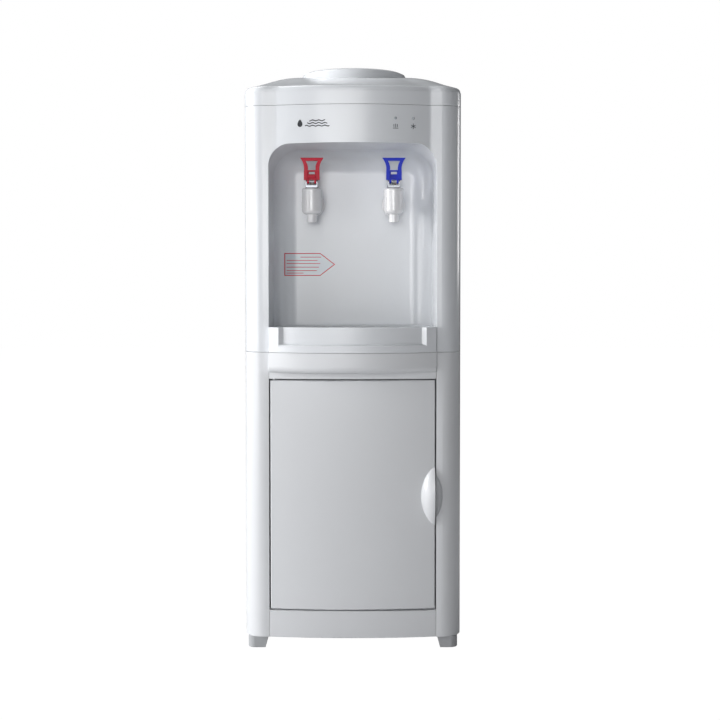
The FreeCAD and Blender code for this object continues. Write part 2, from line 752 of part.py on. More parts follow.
# ---------------------------------------------------------------- taps
def at_tap(shape, x):
    """Moves a tap piece from its own axis to its place on the bay's back."""
    moved = shape.copy()
    moved.translate(V(x, tap_y, tap_axis_height))
    return moved


def tap_shell():
    """The white tap body: flange, neck, upright barrel and nozzle, with its waterway."""
    wall_y = tap_reach
    flange = rod(flange_radius, (0, wall_y - flange_thickness, 0), (0, wall_y, 0))
    flange = flange.makeFillet(1.5, edges_where(flange, lambda e, m: m.y < wall_y - flange_thickness + 0.1))
    neck = rod(neck_radius, (0, 4, 0), (0, wall_y - 3, 0))
    shank = rod(shank_radius, (0, wall_y - 3, 0), (0, wall_y + wall + shank_inside, 0))
    barrel = rod(tap_body_radius, (0, 0, -tap_body_bottom), (0, 0, tap_body_top))
    barrel = barrel.makeFillet(tap_shoulder_radius, edges_where(barrel, lambda e, m: m.z < -tap_body_bottom + 0.1))
    barrel = barrel.makeFillet(tap_rim_radius, edges_where(barrel, lambda e, m: m.z > tap_body_top - 0.1))
    nozzle = rod(nozzle_radius, (0, 0, -tap_body_bottom - nozzle_length), (0, 0, -tap_body_bottom + 4))
    body = fuse(flange, neck, shank, barrel, nozzle)
    chamber = rod(tap_body_radius - tap_body_wall, (0, 0, -2), (0, 0, tap_body_top + 1))
    outlet = rod(nozzle_radius - 2.3, (0, 0, -tap_body_bottom - nozzle_length - 1), (0, 0, 0))
    inlet = rod(shank_radius - 3, (0, 0, 3), (0, 1, 3)).fuse(
        rod(shank_radius - 3, (0, 1, 0), (0, wall_y + wall + shank_inside + 1, 0)))
    return body.cut(chamber).cut(outlet).cut(inlet)


def tap_bonnet():
    """The bright cap with two ears that hold the lever's pin."""
    ring = rod(bonnet_radius, (0, 0, tap_body_top), (0, 0, tap_body_top + bonnet_height))
    ring = ring.makeFillet(bonnet_round, edges_where(ring, lambda e, m: m.z > tap_body_top + bonnet_height - 0.01))
    plug = rod(tap_body_radius - tap_body_wall - pin_gap, (0, 0, tap_body_top - 5), (0, 0, tap_body_top))
    ears = []
    pin_z = tap_body_top + pivot_rise
    for side in (-1, 1):
        x0, x1 = sorted((side * ear_inside, side * ear_outside))
        foot = box(x0, x1, -pivot_offset - 2.6, -2, tap_body_top + bonnet_height - 1.5, pin_z)
        eye = rod(2.6, (x0, -pivot_offset, pin_z), (x1, -pivot_offset, pin_z))
        ears.append(fuse(foot, eye))
    pad = box(-ear_outside, ear_outside, -pivot_offset - 2.6, -4, tap_body_top + 0.4,
              tap_body_top + bonnet_height - 0.8)
    body = fuse(ring, plug, pad, *ears)
    bore = rod(stem_radius + pin_gap, (0, 0, tap_body_top - 6), (0, 0, tap_body_top + bonnet_height + 1))
    pin_bore = rod(pivot_pin_radius, (-ear_outside - 1, -pivot_offset, pin_z), (ear_outside + 1, -pivot_offset, pin_z))
    return body.cut(bore).cut(pin_bore)


def tap_plunger():
    """The stem with its soft seal below and its cross pin above."""
    pin_z = tap_body_top + pivot_rise
    seal_z = -2.0
    seal = lathe([(0, seal_z), (7.0, seal_z + 0.01), (8.4, seal_z + 4), (8.4, seal_z + 7), (0, seal_z + 7)], 0, 0)
    stem = rod(stem_radius, (0, 0, seal_z + 6), (0, 0, pin_z + 2.4))
    cross = rod(pivot_pin_radius, (-cheek_outside + 0.4, 0, pin_z), (cheek_outside - 0.4, 0, pin_z))
    return fuse(seal, stem, cross)


def tap_spring():
    """The closing spring between the seal and the bonnet."""
    low = 5.6
    high = tap_body_top - 5.6
    turns = 5
    helix = Part.makeHelix((high - low) / turns, high - low, 5.4)
    ring = Part.Wire(Part.makeCircle(0.5, V(5.4, 0, 0), V(0, 1, 0)))
    coil = Part.Wire(helix).makePipeShell([ring], True, True)
    coil.translate(V(0, 0, low))
    return coil


def lever_outline(waist, flare, top):
    """A flared upright outline: straight sides to the waist, then arcs out to the top."""
    foot = tap_body_top + pivot_rise - 2.6
    waist_z = foot + 17.6
    mid = (waist * 2 + flare) / 3 - 0.6
    pieces = [Part.makeLine(V(-waist, 0, foot), V(waist, 0, foot))]
    for side in (-1, 1):
        pieces.append(Part.makeLine(V(side * waist, 0, foot), V(side * waist, 0, waist_z)))
        pieces.append(Part.Arc(V(side * waist, 0, waist_z), V(side * mid, 0, (waist_z + top) / 2 + 2),
                               V(side * flare, 0, top)).toShape())
    pieces.append(Part.makeLine(V(-flare, 0, top), V(flare, 0, top)))
    return Part.Wire(Part.__sortEdges__(pieces))


def tap_lever(with_latch):
    """The coloured lever: a flared loop over a forked foot, with a web across its waist."""
    pin_z = tap_body_top + pivot_rise
    depth = lever_thickness
    y0 = -pivot_offset + 1.0
    outline = lever_outline(lever_waist_width / 2, lever_top_width / 2, pin_z + lever_height)
    blade = Part.Face(outline).extrude(V(0, depth, 0))
    blade.translate(V(0, y0, 0))
    blade = blade.cut(box(-20, 20, y0 - 1, y0 + depth + 1, 0, pin_z + 2.8))
    outline = lever_outline(lever_waist_width / 2 - lever_rail, lever_window_width / 2,
                            pin_z + lever_height - lever_bar)
    window = Part.Face(outline).extrude(V(0, depth + 2, 0))
    window.translate(V(0, y0 - 1, 0))
    upper = box(-20, 20, -50, 50, pin_z + 16.5, pin_z + 99)
    blade = blade.cut(window.common(upper))
    slot_half = lever_waist_width / 2 - lever_rail
    blade = blade.cut(box(-slot_half, slot_half, y0 - 1, y0 + 3, pin_z + 5, pin_z + 14.5))
    slot = box(-slot_half + 1.6, slot_half - 1.6, y0, y0 + depth + 1, pin_z + 11, pin_z + 14.5)
    blade = blade.cut(slot)
    cheeks = []
    for side in (-1, 1):
        x0, x1 = sorted((side * cheek_inside, side * cheek_outside))
        front = -pivot_offset - 2.4
        cheeks.append(box(x0, x1, -pivot_offset, 3.2, pin_z - 2.4, pin_z + 3.5))
        cheeks.append(rod(2.4, (x0, -pivot_offset, pin_z), (x1, -pivot_offset, pin_z)))
        cheeks.append(box(x0, x1, front, y0 + depth, pin_z, pin_z + 3.5))
    neck = box(-lever_waist_width / 2, lever_waist_width / 2, y0, y0 + depth, pin_z + 2.8, pin_z + 4.0)
    lever = fuse(blade, neck, *cheeks)
    reach = pivot_pin_radius + pin_gap
    lever = lever.cut(rod(reach, (-20, -pivot_offset, pin_z), (20, -pivot_offset, pin_z)))
    groove = box(-cheek_outside - 0.1, cheek_outside + 0.1, -3.0, 3.4, pin_z - pivot_pin_radius - 0.25, pin_z + pivot_pin_radius + 0.25)
    lever = lever.cut(groove)
    head = rod(stem_radius + 1.2, (0, 0, 0), (0, 0, pin_z + 3.6))
    lever = lever.cut(head)
    rims = edges_where(lever, lambda e, m: m.z > pin_z + lever_height - 0.05 and abs(m.x) < 1)
    lever = lever.makeFillet(1.0, rims)
    if not with_latch:
        return lever, None
    latch = box(-slot_half + part_gap, slot_half - part_gap, y0 - 1.2, y0 + 2.7, pin_z + 5.3, pin_z + 9.6)
    latch = latch.makeFillet(0.7, edges_where(latch, lambda e, m: m.y < y0 - 1.19))
    return lever, latch


def taps():
    """Both taps, the hot one on the left."""
    nuts = []
    bonnets = []
    pins = []
    shell = tap_shell()
    bonnet = tap_bonnet()
    plunger = tap_plunger()
    spring = tap_spring()
    pin_z = tap_body_top + pivot_rise
    pin = rod(pivot_pin_radius, (-ear_outside - 0.2, -pivot_offset, pin_z), (ear_outside + 0.2, -pivot_offset, pin_z))
    start = tap_reach + wall
    hexagon = Part.makePolygon([V(13 * math.cos(k * math.pi / 3), 0, 13 * math.sin(k * math.pi / 3))
                                for k in range(7)])
    nut = Part.Face(hexagon).extrude(V(0, 7, 0))
    nut.translate(V(0, start, 0))
    nut = nut.cut(rod(shank_radius + pin_gap, (0, start - 1, 0), (0, start + 8, 0)))
    for side, name in ((-1, "hot"), (1, "cold")):
        x = side * tap_spacing / 2
        lever, latch = tap_lever(name == "hot")
        parts[name + "_tap_body"] = at_tap(shell, x)
        parts[name + "_tap_plunger"] = at_tap(plunger, x)
        parts[name + "_tap_spring"] = at_tap(spring, x)
        parts[name + "_tap_lever"] = at_tap(lever, x)
        if latch:
            parts["hot_tap_child_latch"] = at_tap(latch, x)
        bonnets.append(at_tap(bonnet, x))
        pins.append(at_tap(pin, x))
        nuts.append(at_tap(nut, x))
    parts["tap_bonnets"] = group(*bonnets)
    parts["tap_lever_pins"] = group(*pins)
    parts["tap_nuts"] = group(*nuts)


# ---------------------------------------------------------------- bottle seat and tanks
tank_top = cover_seam_z + 4.0
cold_bottom = tank_top - cold_height
gasket_top = tank_top + gasket_thickness
socket_floor = gasket_top - 8.0


def bottle_seat():
    """The ring and funnel that hold the bottle's neck, and the probe that opens its cap."""
    top = collar_top
    funnel_foot = top - throat_length - funnel_drop
    skirt = cold_radius - tank_wall - slide_gap
    profile = [(throat_radius, top - 2), (throat_radius + 2.5, top), (ring_top_radius - 3, top),
               (ring_top_radius + 1.5, top - 2), (ring_outer_radius - 2, top - 9),
               (ring_outer_radius, top - 15), (ring_outer_radius, top - 26),
               (ring_outer_radius - wall, top - 26), (ring_outer_radius - wall, top - 15),
               (ring_top_radius - 1.5, top - 5), (throat_radius + wall, top - 5),
               (throat_radius + wall, top - throat_length - 2),
               (funnel_foot_radius + wall, funnel_foot - 2),
               (funnel_foot_radius + wall, gasket_top + wall),
               (cold_radius + 5, gasket_top + wall), (cold_radius + 5, gasket_top),
               (skirt, gasket_top), (skirt, gasket_top - 12),
               (skirt - wall, gasket_top - 12), (skirt - wall, gasket_top),
               (funnel_foot_radius, gasket_top), (funnel_foot_radius, socket_floor),
               (probe_radius + 6, socket_floor - 4), (probe_radius - 2, socket_floor - 4),
               (probe_radius - 2, socket_floor), (probe_radius + 4, socket_floor),
               (funnel_foot_radius - wall, socket_floor + 6),
               (funnel_foot_radius - wall, funnel_foot), (throat_radius, top - throat_length)]
    parts["bottle_seat"] = lathe(profile, 0, seat_y)

    tip = socket_floor + 46
    r = probe_radius
    spike = lathe([(r - 4, socket_floor - 3.9), (r - 4, tip - 12), (0.5, tip - 3), (0, tip - 3), (0, tip),
                   (3, tip - 1), (r - 1, tip - 12), (r, tip - 16), (r, socket_floor + 0.2),
                   (r - 2 - pin_gap, socket_floor + 0.2), (r - 2 - pin_gap, socket_floor - 3.9)], 0, seat_y)
    windows = []
    for turn in range(4):
        window = box(-2, 2, 2, r + 4, socket_floor + 10, tip - 18)
        window.rotate(V(0, 0, 0), V(0, 0, 1), 90 * turn + 45)
        window.translate(V(0, seat_y, 0))
        windows.append(window)
    parts["water_probe"] = spike.cut(group(*windows))
    parts["seat_gasket"] = tube(cold_radius + 5, cold_radius - tank_wall, (0, seat_y, tank_top),
                                (0, seat_y, gasket_top))


def tanks():
    """Cold tank in its foam cup, the cooling stack behind it, and the hot tank below."""
    c = cold_radius
    low = cold_bottom
    tank = lathe([(0, low), (c, low), (c, tank_top - 1.5), (c + 6, tank_top - 1.5), (c + 6, tank_top),
                  (c - tank_wall, tank_top), (c - tank_wall, low + tank_wall), (0, low + tank_wall)], 0, seat_y)
    spigots = ((24.0, seat_y - 10.0), (-24.0, seat_y + 14.0))
    for x, y in spigots:
        tank = fuse(tank, rod(hose_bore - pin_gap, (x, y, shelf_height - 10), (x, y, low + 0.5)))
        tank = tank.cut(rod(hose_bore - 1.2, (x, y, shelf_height - 11), (x, y, low + 5)))
    parts["cold_tank"] = tank
    foam_top = tank_top - 1.5 - part_gap
    foam_bottom = shelf_height + 2.0
    foam = lathe([(0, foam_bottom), (c + cold_insulation, foam_bottom), (c + cold_insulation, foam_top),
                  (c + part_gap, foam_top), (c + part_gap, low - part_gap), (0, low - part_gap)], 0, seat_y)
    for x, y in spigots:
        foam = foam.cut(rod(hose_radius + 1, (x, y, foam_bottom - 1), (x, y, low + 1)))
    block = 20.0
    foam = foam.cut(box(-block - 1, block + 1, seat_y + 20, seat_y + c + 40, fan_height - block - 1,
                        fan_height + block + 1))
    flat = seat_y + c + cold_insulation - 1.5
    parts["cold_tank_insulation"] = foam.cut(box(-99, 99, flat, flat + 50, 0, 999))
    baffle_z = low + 60
    plate = rod(c - tank_wall - 1.5, (0, seat_y, baffle_z), (0, seat_y, baffle_z + 2))
    holes = []
    for k in range(6):
        a = k * math.pi / 3
        x = 36 * math.cos(a)
        y = seat_y + 36 * math.sin(a)
        holes.append(rod(4, (x, y, baffle_z - 1), (x, y, baffle_z + 3)))
    stalk = rod(6, (0, seat_y, low + tank_wall), (0, seat_y, baffle_z + 1))
    parts["tank_baffle"] = fuse(plate.cut(group(*holes)), stalk)

    y = seat_y + c + 0.2
    y1 = y + 15.0
    parts["cold_block"] = box(-block, block, y, y1, fan_height - block, fan_height + block)
    y2 = y1 + 3.8
    parts["peltier_module"] = box(-block, block, y1, y2, fan_height - block, fan_height + block)
    fan_front = fan_y - fan_depth / 2
    sink_half = 46.0
    sink = box(-sink_half, sink_half, y2, y2 + 5, fan_height - sink_half, fan_height + sink_half)
    fins = []
    for k in range(16):
        x = -sink_half + 1 + k * (2 * sink_half - 3.4) / 15
        fins.append(box(x, x + 1.4, y2 + 4, fan_front - 1, fan_height - sink_half, fan_height + sink_half))
    parts["heat_sink"] = fuse(sink, *fins)

    half = fan_size / 2
    bore = half - 3.0
    frame = box(-half, half, fan_front, fan_front + fan_depth, fan_height - half, fan_height + half)
    frame = frame.makeFillet(5.0, edges_where(frame, lambda e, m: abs(abs(m.x) - half) < 0.01
                                              and abs(abs(m.z - fan_height) - half) < 0.01))
    frame = frame.cut(rod(bore, (0, fan_front - 1, fan_height), (0, fan_front + fan_depth + 1, fan_height)))
    rear = fan_front + fan_depth
    spider = [rod(fan_hub_radius, (0, rear - 2.5, fan_height), (0, rear, fan_height))]
    for k in range(4):
        a = math.radians(45 + 90 * k)
        spoke = box(0, bore + 2, rear - 2.5, rear, -2, 2)
        spoke.rotate(V(0, 0, 0), V(0, 1, 0), math.degrees(a))
        spoke.translate(V(0, 0, fan_height))
        spider.append(spoke)
    axle = rod(fan_axle_radius, (0, fan_front + 3, fan_height), (0, rear - 1, fan_height))
    for k in range(4):
        x = (half - 5.5) * (1 if k % 2 else -1)
        z = fan_height + (half - 5.5) * (1 if k < 2 else -1)
        frame = frame.cut(rod(2.1, (x, fan_front - 1, z), (x, rear + 1, z)))
    parts["fan_frame"] = fuse(frame, axle, *spider)
    cup = rod(fan_hub_radius - 0.5, (0, fan_front + 1.5, fan_height), (0, rear - 3.5, fan_height))
    blades = []
    for k in range(fan_blades):
        blade = box(10, bore - 1.5, -1.0, 1.0, -fan_blade_half, fan_blade_half)
        blade.rotate(V(0, 0, 0), V(1, 0, 0), 90 - 35)
        blade = blade.common(rod(bore - 1.2, (0, -20, 0), (0, 20, 0)))
        blade.rotate(V(0, 0, 0), V(0, 1, 0), k * 360 / fan_blades)
        blade.translate(V(0, fan_y - 1, fan_height))
        blades.append(blade)
    rotor = fuse(cup, *blades)
    parts["fan_rotor"] = rotor.cut(rod(fan_axle_radius + fan_axle_gap, (0, fan_front, fan_height),
                                       (0, rear, fan_height)))

    low = deck_z + wall + 9.0
    h = hot_radius
    t = tank_wall
    top = low + hot_height
    hot = lathe([(0, low), (h, low), (h, top), (0, top)], hot_x, hot_y)
    hot = hot.makeFillet(5.0, edges_where(hot, lambda e, m: isinstance(e.Curve, Part.Circle)))
    core = lathe([(0, low + t), (h - t, low + t), (h - t, top - t), (0, top - t)], hot_x, hot_y)
    hot = hot.cut(core.makeFillet(4.0, edges_where(core, lambda e, m: isinstance(e.Curve, Part.Circle))))
    r_out = hose_bore - pin_gap
    stubs = (((hot_x, hot_y - 20, top - 0.6), (hot_x, hot_y - 20, top + 16)),
             ((hot_x + h - 0.6, hot_y, drain_z), (hot_x + h + 26, hot_y, drain_z)))
    for start, end in stubs:
        hot = fuse(hot, rod(r_out, start, end))
        way = (V(*end) - V(*start)).normalize() * 3
        hot = hot.cut(rod(r_out - 1.2, tuple(V(*start) - way), tuple(V(*end) + way)))
    start = (hot_x, hot_y + h - 0.6, drain_z)
    end = (hot_x, back_y + 3.0, drain_z)
    hot = fuse(hot, rod(drain_radius - 2.5, start, end))
    hot = hot.cut(rod(drain_radius - 4.5, (hot_x, hot_y + h - 4, drain_z), (hot_x, back_y + 4, drain_z)))
    parts["hot_tank"] = hot
    band_top = low + 78
    parts["heater_band"] = tube(h + 2.8, h + 0.15, (hot_x, hot_y, low + 38), (hot_x, hot_y, band_top))
    jacket = lathe([(h + 3.6, low - 0.2), (0, low - 0.2), (0, low - 8.5), (h + 12, low - 8.5), (h + 12, top + 1),
                    (h + 3.6, top + 1)], hot_x, hot_y)
    jacket = jacket.cut(rod(hose_radius + 1, (hot_x, hot_y, drain_z), (hot_x + h + 30, hot_y, drain_z)))
    jacket = jacket.cut(rod(drain_radius, (hot_x, hot_y, drain_z), (hot_x, back_y, drain_z)))
    parts["hot_tank_jacket"] = jacket
    discs = []
    for x in (hot_x - 20, hot_x + 20):
        disc = fuse(rod(8, (x, hot_y + 8, top), (x, hot_y + 8, top + 7)),
                    box(x - 1, x + 1, hot_y + 3, hot_y + 13, top + 6, top + 15))
        discs.append(disc)
    parts["thermostats"] = group(*discs)

    hot_top = top + 16
    x, y = spigots[0]
    start_z = shelf_height - 10
    tap_x = tap_spacing / 2
    shank_end = bay_back_y + wall + shank_inside
    parts["cold_outlet_hose"] = hose([(x, y, start_z + 8), (x, y, start_z - 22), (x + 14, y + 6, start_z - 44),
                                      (tap_x - 4, y + 4, start_z - 40), (tap_x, shank_end + 20, tap_axis_height - 22),
                                      (tap_x, shank_end + 18, tap_axis_height), (tap_x, shank_end, tap_axis_height)],
                                     hose_radius, hose_bore)
    parts["hot_outlet_hose"] = hose([(hot_x, hot_y - 20, hot_top - 10), (hot_x, hot_y - 20, hot_top + 22),
                                     (hot_x, shank_end + 26, tap_axis_height - 20),
                                     (-tap_x, shank_end + 20, tap_axis_height),
                                     (-tap_x, shank_end, tap_axis_height)], hose_radius, hose_bore)
    x, y = spigots[1]
    parts["feed_hose"] = hose([(x, y, start_z + 8), (x, y, start_z - 26), (30, y - 4, start_z - 60),
                               (34, y, drain_z + 50), (30, hot_y, drain_z), (hot_x + h + 14, hot_y, drain_z)],
                              hose_radius, hose_bore)
    cap = lathe([(0, 0), (drain_radius - 0.6, 0), (drain_radius - 0.6, 5), (0, 5)], 0, 0)
    cap.rotate(V(0, 0, 0), V(1, 0, 0), -90)
    cap = cap.makeFillet(0.8, edges_where(cap, lambda e, m: m.y > 4.9))
    cap.translate(V(hot_x, back_y + 1.6, drain_z))
    parts["drain_plug"] = cap.cut(rod(drain_radius - 2.5 + pin_gap, (hot_x, back_y, drain_z),
                                      (hot_x, back_y + 4.2, drain_z)))

    plan = round_plan(half_width, front_y, back_y, front_corner_radius, back_corner_radius)
    shelf = prism(inset(plan, wall + part_gap), shelf_height, shelf_height + 2)
    shelf = shelf.cut(box(-half_width, half_width, front_y - 1, bay_back_y + wall + 4, 0, 999))
    for x, y in spigots:
        shelf = shelf.cut(rod(hose_radius + 1.5, (x, y, shelf_height - 1), (x, y, shelf_height + 3)))
    parts["tank_shelf"] = shelf


# ---------------------------------------------------------------- electrics
def electrics():
    """Inlet, switches, power board and the front indicators."""
    outside = back_y
    flange = box(switch_x - 17, switch_x + 17, outside, outside + 2, inlet_z - 13.5, inlet_z + 13.5)
    flange = flange.makeFillet(0.6, edges_where(flange, lambda e, m: m.y > outside + 1.99))
    body = box(switch_x - 13.7, switch_x + 13.7, outside - 24, outside + 0.5, inlet_z - 10.2, inlet_z + 10.2)
    hollow = box(switch_x - 11.8, switch_x + 11.8, outside - 18, outside + 3, inlet_z - 7.8, inlet_z + 7.8)
    inlet = fuse(flange, body).cut(hollow)
    pins = []
    for dx, dz in ((-7, -1.5), (0, 2.5), (7, -1.5)):
        pins.append(box(switch_x + dx - 1, switch_x + dx + 1, outside - 20, outside - 4,
                        inlet_z + dz - 2, inlet_z + dz + 2))
    parts["power_inlet"] = fuse(inlet, *pins)

    frames = []
    for z, name in zip(switch_heights, ("heating", "cooling")):
        rim = box(switch_x - 10, switch_x + 10, outside, outside + 1.8, z - 15, z + 15)
        rim = rim.makeFillet(0.6, edges_where(rim, lambda e, m: m.y > outside + 1.79))
        case = box(switch_x - 7.2, switch_x + 7.2, outside - 20, outside + 0.5, z - 12.2, z + 12.2)
        well = box(switch_x - 5.6, switch_x + 5.6, outside - 12, outside + 3, z - 10.6, z + 10.6)
        pivot_y = outside - 2.0
        pivot = rod(rocker_pin_radius + pin_gap, (switch_x - 6.6, pivot_y, z), (switch_x + 6.6, pivot_y, z))
        frames.append(fuse(rim, case).cut(well).cut(pivot))
        lift = rocker_reach * math.sin(math.radians(rocker_tilt + 1))
        nose = outside + 2.6
        outline = [V(0, pivot_y - 6, z - 6), V(0, nose - lift, z - rocker_reach), V(0, nose, z),
                   V(0, nose - lift, z + rocker_reach), V(0, pivot_y - 6, z + 6), V(0, pivot_y - 6, z - 6)]
        rocker = Part.Face(Part.makePolygon(outline)).extrude(V(10.4, 0, 0))
        rocker.translate(V(switch_x - 5.2, 0, 0))
        rocker.rotate(V(switch_x, pivot_y, z), V(1, 0, 0), rocker_tilt)
        trunnion = rod(rocker_pin_radius, (switch_x - 6.4, pivot_y, z), (switch_x + 6.4, pivot_y, z))
        parts[name + "_switch_rocker"] = fuse(rocker, trunnion)
    parts["switch_frames"] = group(*frames)

    z = deck_z + wall
    board = box(48, 140, -28, 74, z + 6, z + 7.6)
    posts = []
    for x in (54, 134):
        for y in (-22, 68):
            posts.append(rod(3, (x, y, z), (x, y, z + 6.5)))
    core = box(60, 106, -14, 30, z + 7.4, z + 47)
    core = core.makeFillet(2, edges_where(core, lambda e, m: m.z > z + 46))
    cans = []
    for x, y in ((120, -8), (120, 12), (120, 34)):
        cans.append(rod(7, (x, y, z + 7.4), (x, y, z + 30)))
    relay = box(62, 80, 42, 62, z + 7.4, z + 24)
    fins = [box(90 + k * 5, 91.5 + k * 5, 42, 66, z + 7.4, z + 34) for k in range(4)]
    parts["power_board"] = fuse(board, core, relay, *posts, *cans, *fins)

    windows = []
    places = led_places()
    for x, y in places:
        stem = rod(led_radius, (x, y - 0.8, led_z), (x, y + wall + 3, led_z))
        stem = stem.makeFillet(0.7, edges_where(stem, lambda e, m: m.y < y - 0.79))
        windows.append(stem)
    parts["indicator_lenses"] = group(*windows)
    x0 = places[0][0] - 14
    x1 = places[1][0] + 7
    y0 = places[1][1] + wall + 3.3
    parts["indicator_board"] = box(x0, x1, y0, y0 + 1.6, led_z - 9, led_z + 9)

    screws = []
    for side in (-1, 1):
        for z in (base_z + 30, (base_z + seam_z) / 2, seam_z - 30, deck_z + 60, cover_seam_z - 90):
            head = rod(screw_radius, (side * (back_half - 9), back_y, z), (side * (back_half - 9), back_y + 1.8, z))
            head = head.makeFillet(0.9, edges_where(head, lambda e, m: m.y > back_y + 1.7))
            cross = box(-0.5, 0.5, back_y + 0.8, back_y + 3, -2.2, 2.2)
            other = box(-2.2, 2.2, back_y + 0.8, back_y + 3, -0.5, 0.5)
            recess = fuse(cross, other)
            recess.translate(V(side * (back_half - 9), 0, z))
            screws.append(head.cut(recess))
    parts["back_screws"] = group(*screws)


def deck():
    """The floor under the bay and the tanks, on top of the cabinet."""
    plan = round_plan(half_width, front_y, back_y, front_corner_radius, back_corner_radius)
    plate = prism(inset(plan, wall + part_gap), deck_z, deck_z + wall)
    clear = box(-200, 200, front_y - 1, bay_back_y + wall + part_gap, 0, 999)
    plate = plate.cut(clear)
    parts["upper_deck"] = plate


lower_housing()
door()
upper_housing()
top_cover()
drip_tray()
taps()
bottle_seat()
tanks()
electrics()
deck()

os.makedirs("parts", exist_ok=True)
for name, shape in parts.items():
    shape.exportStep("parts/" + name + ".step")
    print(name, len(shape.Solids), shape.isValid(), round(shape.Volume / 1000, 1))
print(len(parts), "nodes")
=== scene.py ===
"""Looks for a floor-standing bottled water dispenser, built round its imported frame.

Everything is in metres. -Y is the front, +X the user's right, +Z up, and the origin is on the floor under
the middle of the machine.
"""
import json
import logging
import math
from dataclasses import dataclass
from enum import Enum
from typing import Callable, Sequence

import bpy
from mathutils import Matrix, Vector


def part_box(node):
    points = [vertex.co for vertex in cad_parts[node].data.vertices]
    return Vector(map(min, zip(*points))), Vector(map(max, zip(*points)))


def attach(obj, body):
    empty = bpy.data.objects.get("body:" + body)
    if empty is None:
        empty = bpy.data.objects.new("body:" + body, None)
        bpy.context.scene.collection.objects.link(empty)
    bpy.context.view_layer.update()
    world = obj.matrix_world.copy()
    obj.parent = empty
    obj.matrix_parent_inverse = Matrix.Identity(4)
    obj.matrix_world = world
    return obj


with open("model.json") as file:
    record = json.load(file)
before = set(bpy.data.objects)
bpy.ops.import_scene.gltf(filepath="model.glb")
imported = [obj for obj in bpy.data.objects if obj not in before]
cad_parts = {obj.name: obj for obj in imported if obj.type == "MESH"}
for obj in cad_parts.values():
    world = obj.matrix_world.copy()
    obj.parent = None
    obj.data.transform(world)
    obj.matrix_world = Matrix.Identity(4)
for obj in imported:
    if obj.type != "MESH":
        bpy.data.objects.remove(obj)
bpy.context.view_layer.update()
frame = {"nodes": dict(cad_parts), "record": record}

LOG = logging.getLogger("dispenser")
MM = 0.001
CUT_LENGTH = 0.0015  # a flat bar is cut this often, so that it follows a curved wall

Colour = tuple[float, float, float]


# ------------------------------------------------------------------------------------------ modelling tools
class Axis(Enum):
    """The axis that a curved piece or a brushed finish follows."""

    X = 0
    Y = 1
    Z = 2


class Element(Enum):
    """The part of a mesh that is picked."""

    VERTEX = "VERT"
    EDGE = "EDGE"


def srgb(red: int, green: int, blue: int) -> Colour:
    """A linear colour from a display colour.

    Args:
        red: 0 to 255.
        green: 0 to 255.
        blue: 0 to 255.

    Returns:
        The three linear channels.
    """
    channels = []
    for value in (red, green, blue):
        share = value / 255
        channels.append(share / 12.92 if share <= 0.04045 else ((share + 0.055) / 1.055) ** 2.4)
    return tuple(channels)


def start_clean() -> None:
    """Leaves edit mode with nothing selected."""
    if bpy.context.mode != "OBJECT":
        bpy.ops.object.mode_set(mode="OBJECT")
    bpy.ops.object.select_all(action="DESELECT")


def edit(piece: bpy.types.Object) -> None:
    """Selects one piece alone and enters edit mode with all of it selected.

    Args:
        piece: the object to edit.
    """
    start_clean()
    piece.select_set(True)
    bpy.context.view_layer.objects.active = piece
    bpy.ops.object.mode_set(mode="EDIT")
    bpy.ops.mesh.select_all(action="SELECT")


def pick(piece: bpy.types.Object, test: Callable[[Vector], bool], kind: Element = Element.VERTEX) -> None:
    """Selects the vertices or edges of the piece in edit mode whose middle passes a test.

    Args:
        piece: the object in edit mode.
        test: says yes or no to a place.
        kind: what is selected.
    """
    bpy.ops.mesh.select_mode(type=kind.value)
    bpy.ops.mesh.select_all(action="DESELECT")
    bpy.ops.object.mode_set(mode="OBJECT")
    mesh = piece.data
    if kind is Element.VERTEX:
        for vertex in mesh.vertices:
            vertex.select = test(vertex.co)
    else:
        for edge in mesh.edges:
            middle = (mesh.vertices[edge.vertices[0]].co + mesh.vertices[edge.vertices[1]].co) / 2
            edge.select = test(middle)
    bpy.ops.object.mode_set(mode="EDIT")


def finish_mesh(piece: bpy.types.Object, smooth_angle: float = 35.0) -> None:
    """Leaves edit mode, puts the object's place into its mesh and smooths its rounds.

    Args:
        piece: the object to finish.
        smooth_angle: edges under this many degrees are smoothed.
    """
    start_clean()
    piece.select_set(True)
    bpy.context.view_layer.objects.active = piece
    bpy.ops.object.transform_apply(location=True, rotation=True, scale=True)
    bpy.ops.object.shade_smooth_by_angle(angle=math.radians(smooth_angle))
    start_clean()


def apply_modifier(piece: bpy.types.Object, kind: str, **values: object) -> None:
    """Adds a modifier with these values and applies it.

    Args:
        piece: the object that gets it.
        kind: the modifier's type.
        values: its settings.
    """
    modifier = piece.modifiers.new(kind.title(), kind)
    for name, value in values.items():
        setattr(modifier, name, value)
    start_clean()
    piece.select_set(True)
    bpy.context.view_layer.objects.active = piece
    bpy.ops.object.modifier_apply(modifier=modifier.name)
    start_clean()


def join(pieces: Sequence[bpy.types.Object], name: str) -> bpy.types.Object:
    """Joins pieces into the first one, under a new name.

    Args:
        pieces: the objects to join.
        name: the whole piece's name.

    Returns:
        The joined object.
    """
    start_clean()
    for piece in pieces:
        piece.select_set(True)
    bpy.context.view_layer.objects.active = pieces[0]
    if len(pieces) > 1:
        bpy.ops.object.join()
    whole = bpy.context.view_layer.objects.active
    whole.name = name
    whole.data.name = name
    start_clean()
    return whole


def own(piece: bpy.types.Object, body: str, material: bpy.types.Material) -> None:
    """Gives a new piece its body and its material.

    Args:
        piece: the new piece.
        body: the CAD body that carries it.
        material: what it is made of.
    """
    piece.data.materials.clear()
    piece.data.materials.append(material)
    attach(piece, body)
    LOG.info("%s rides on %s: %d faces", piece.name, body, len(piece.data.polygons))


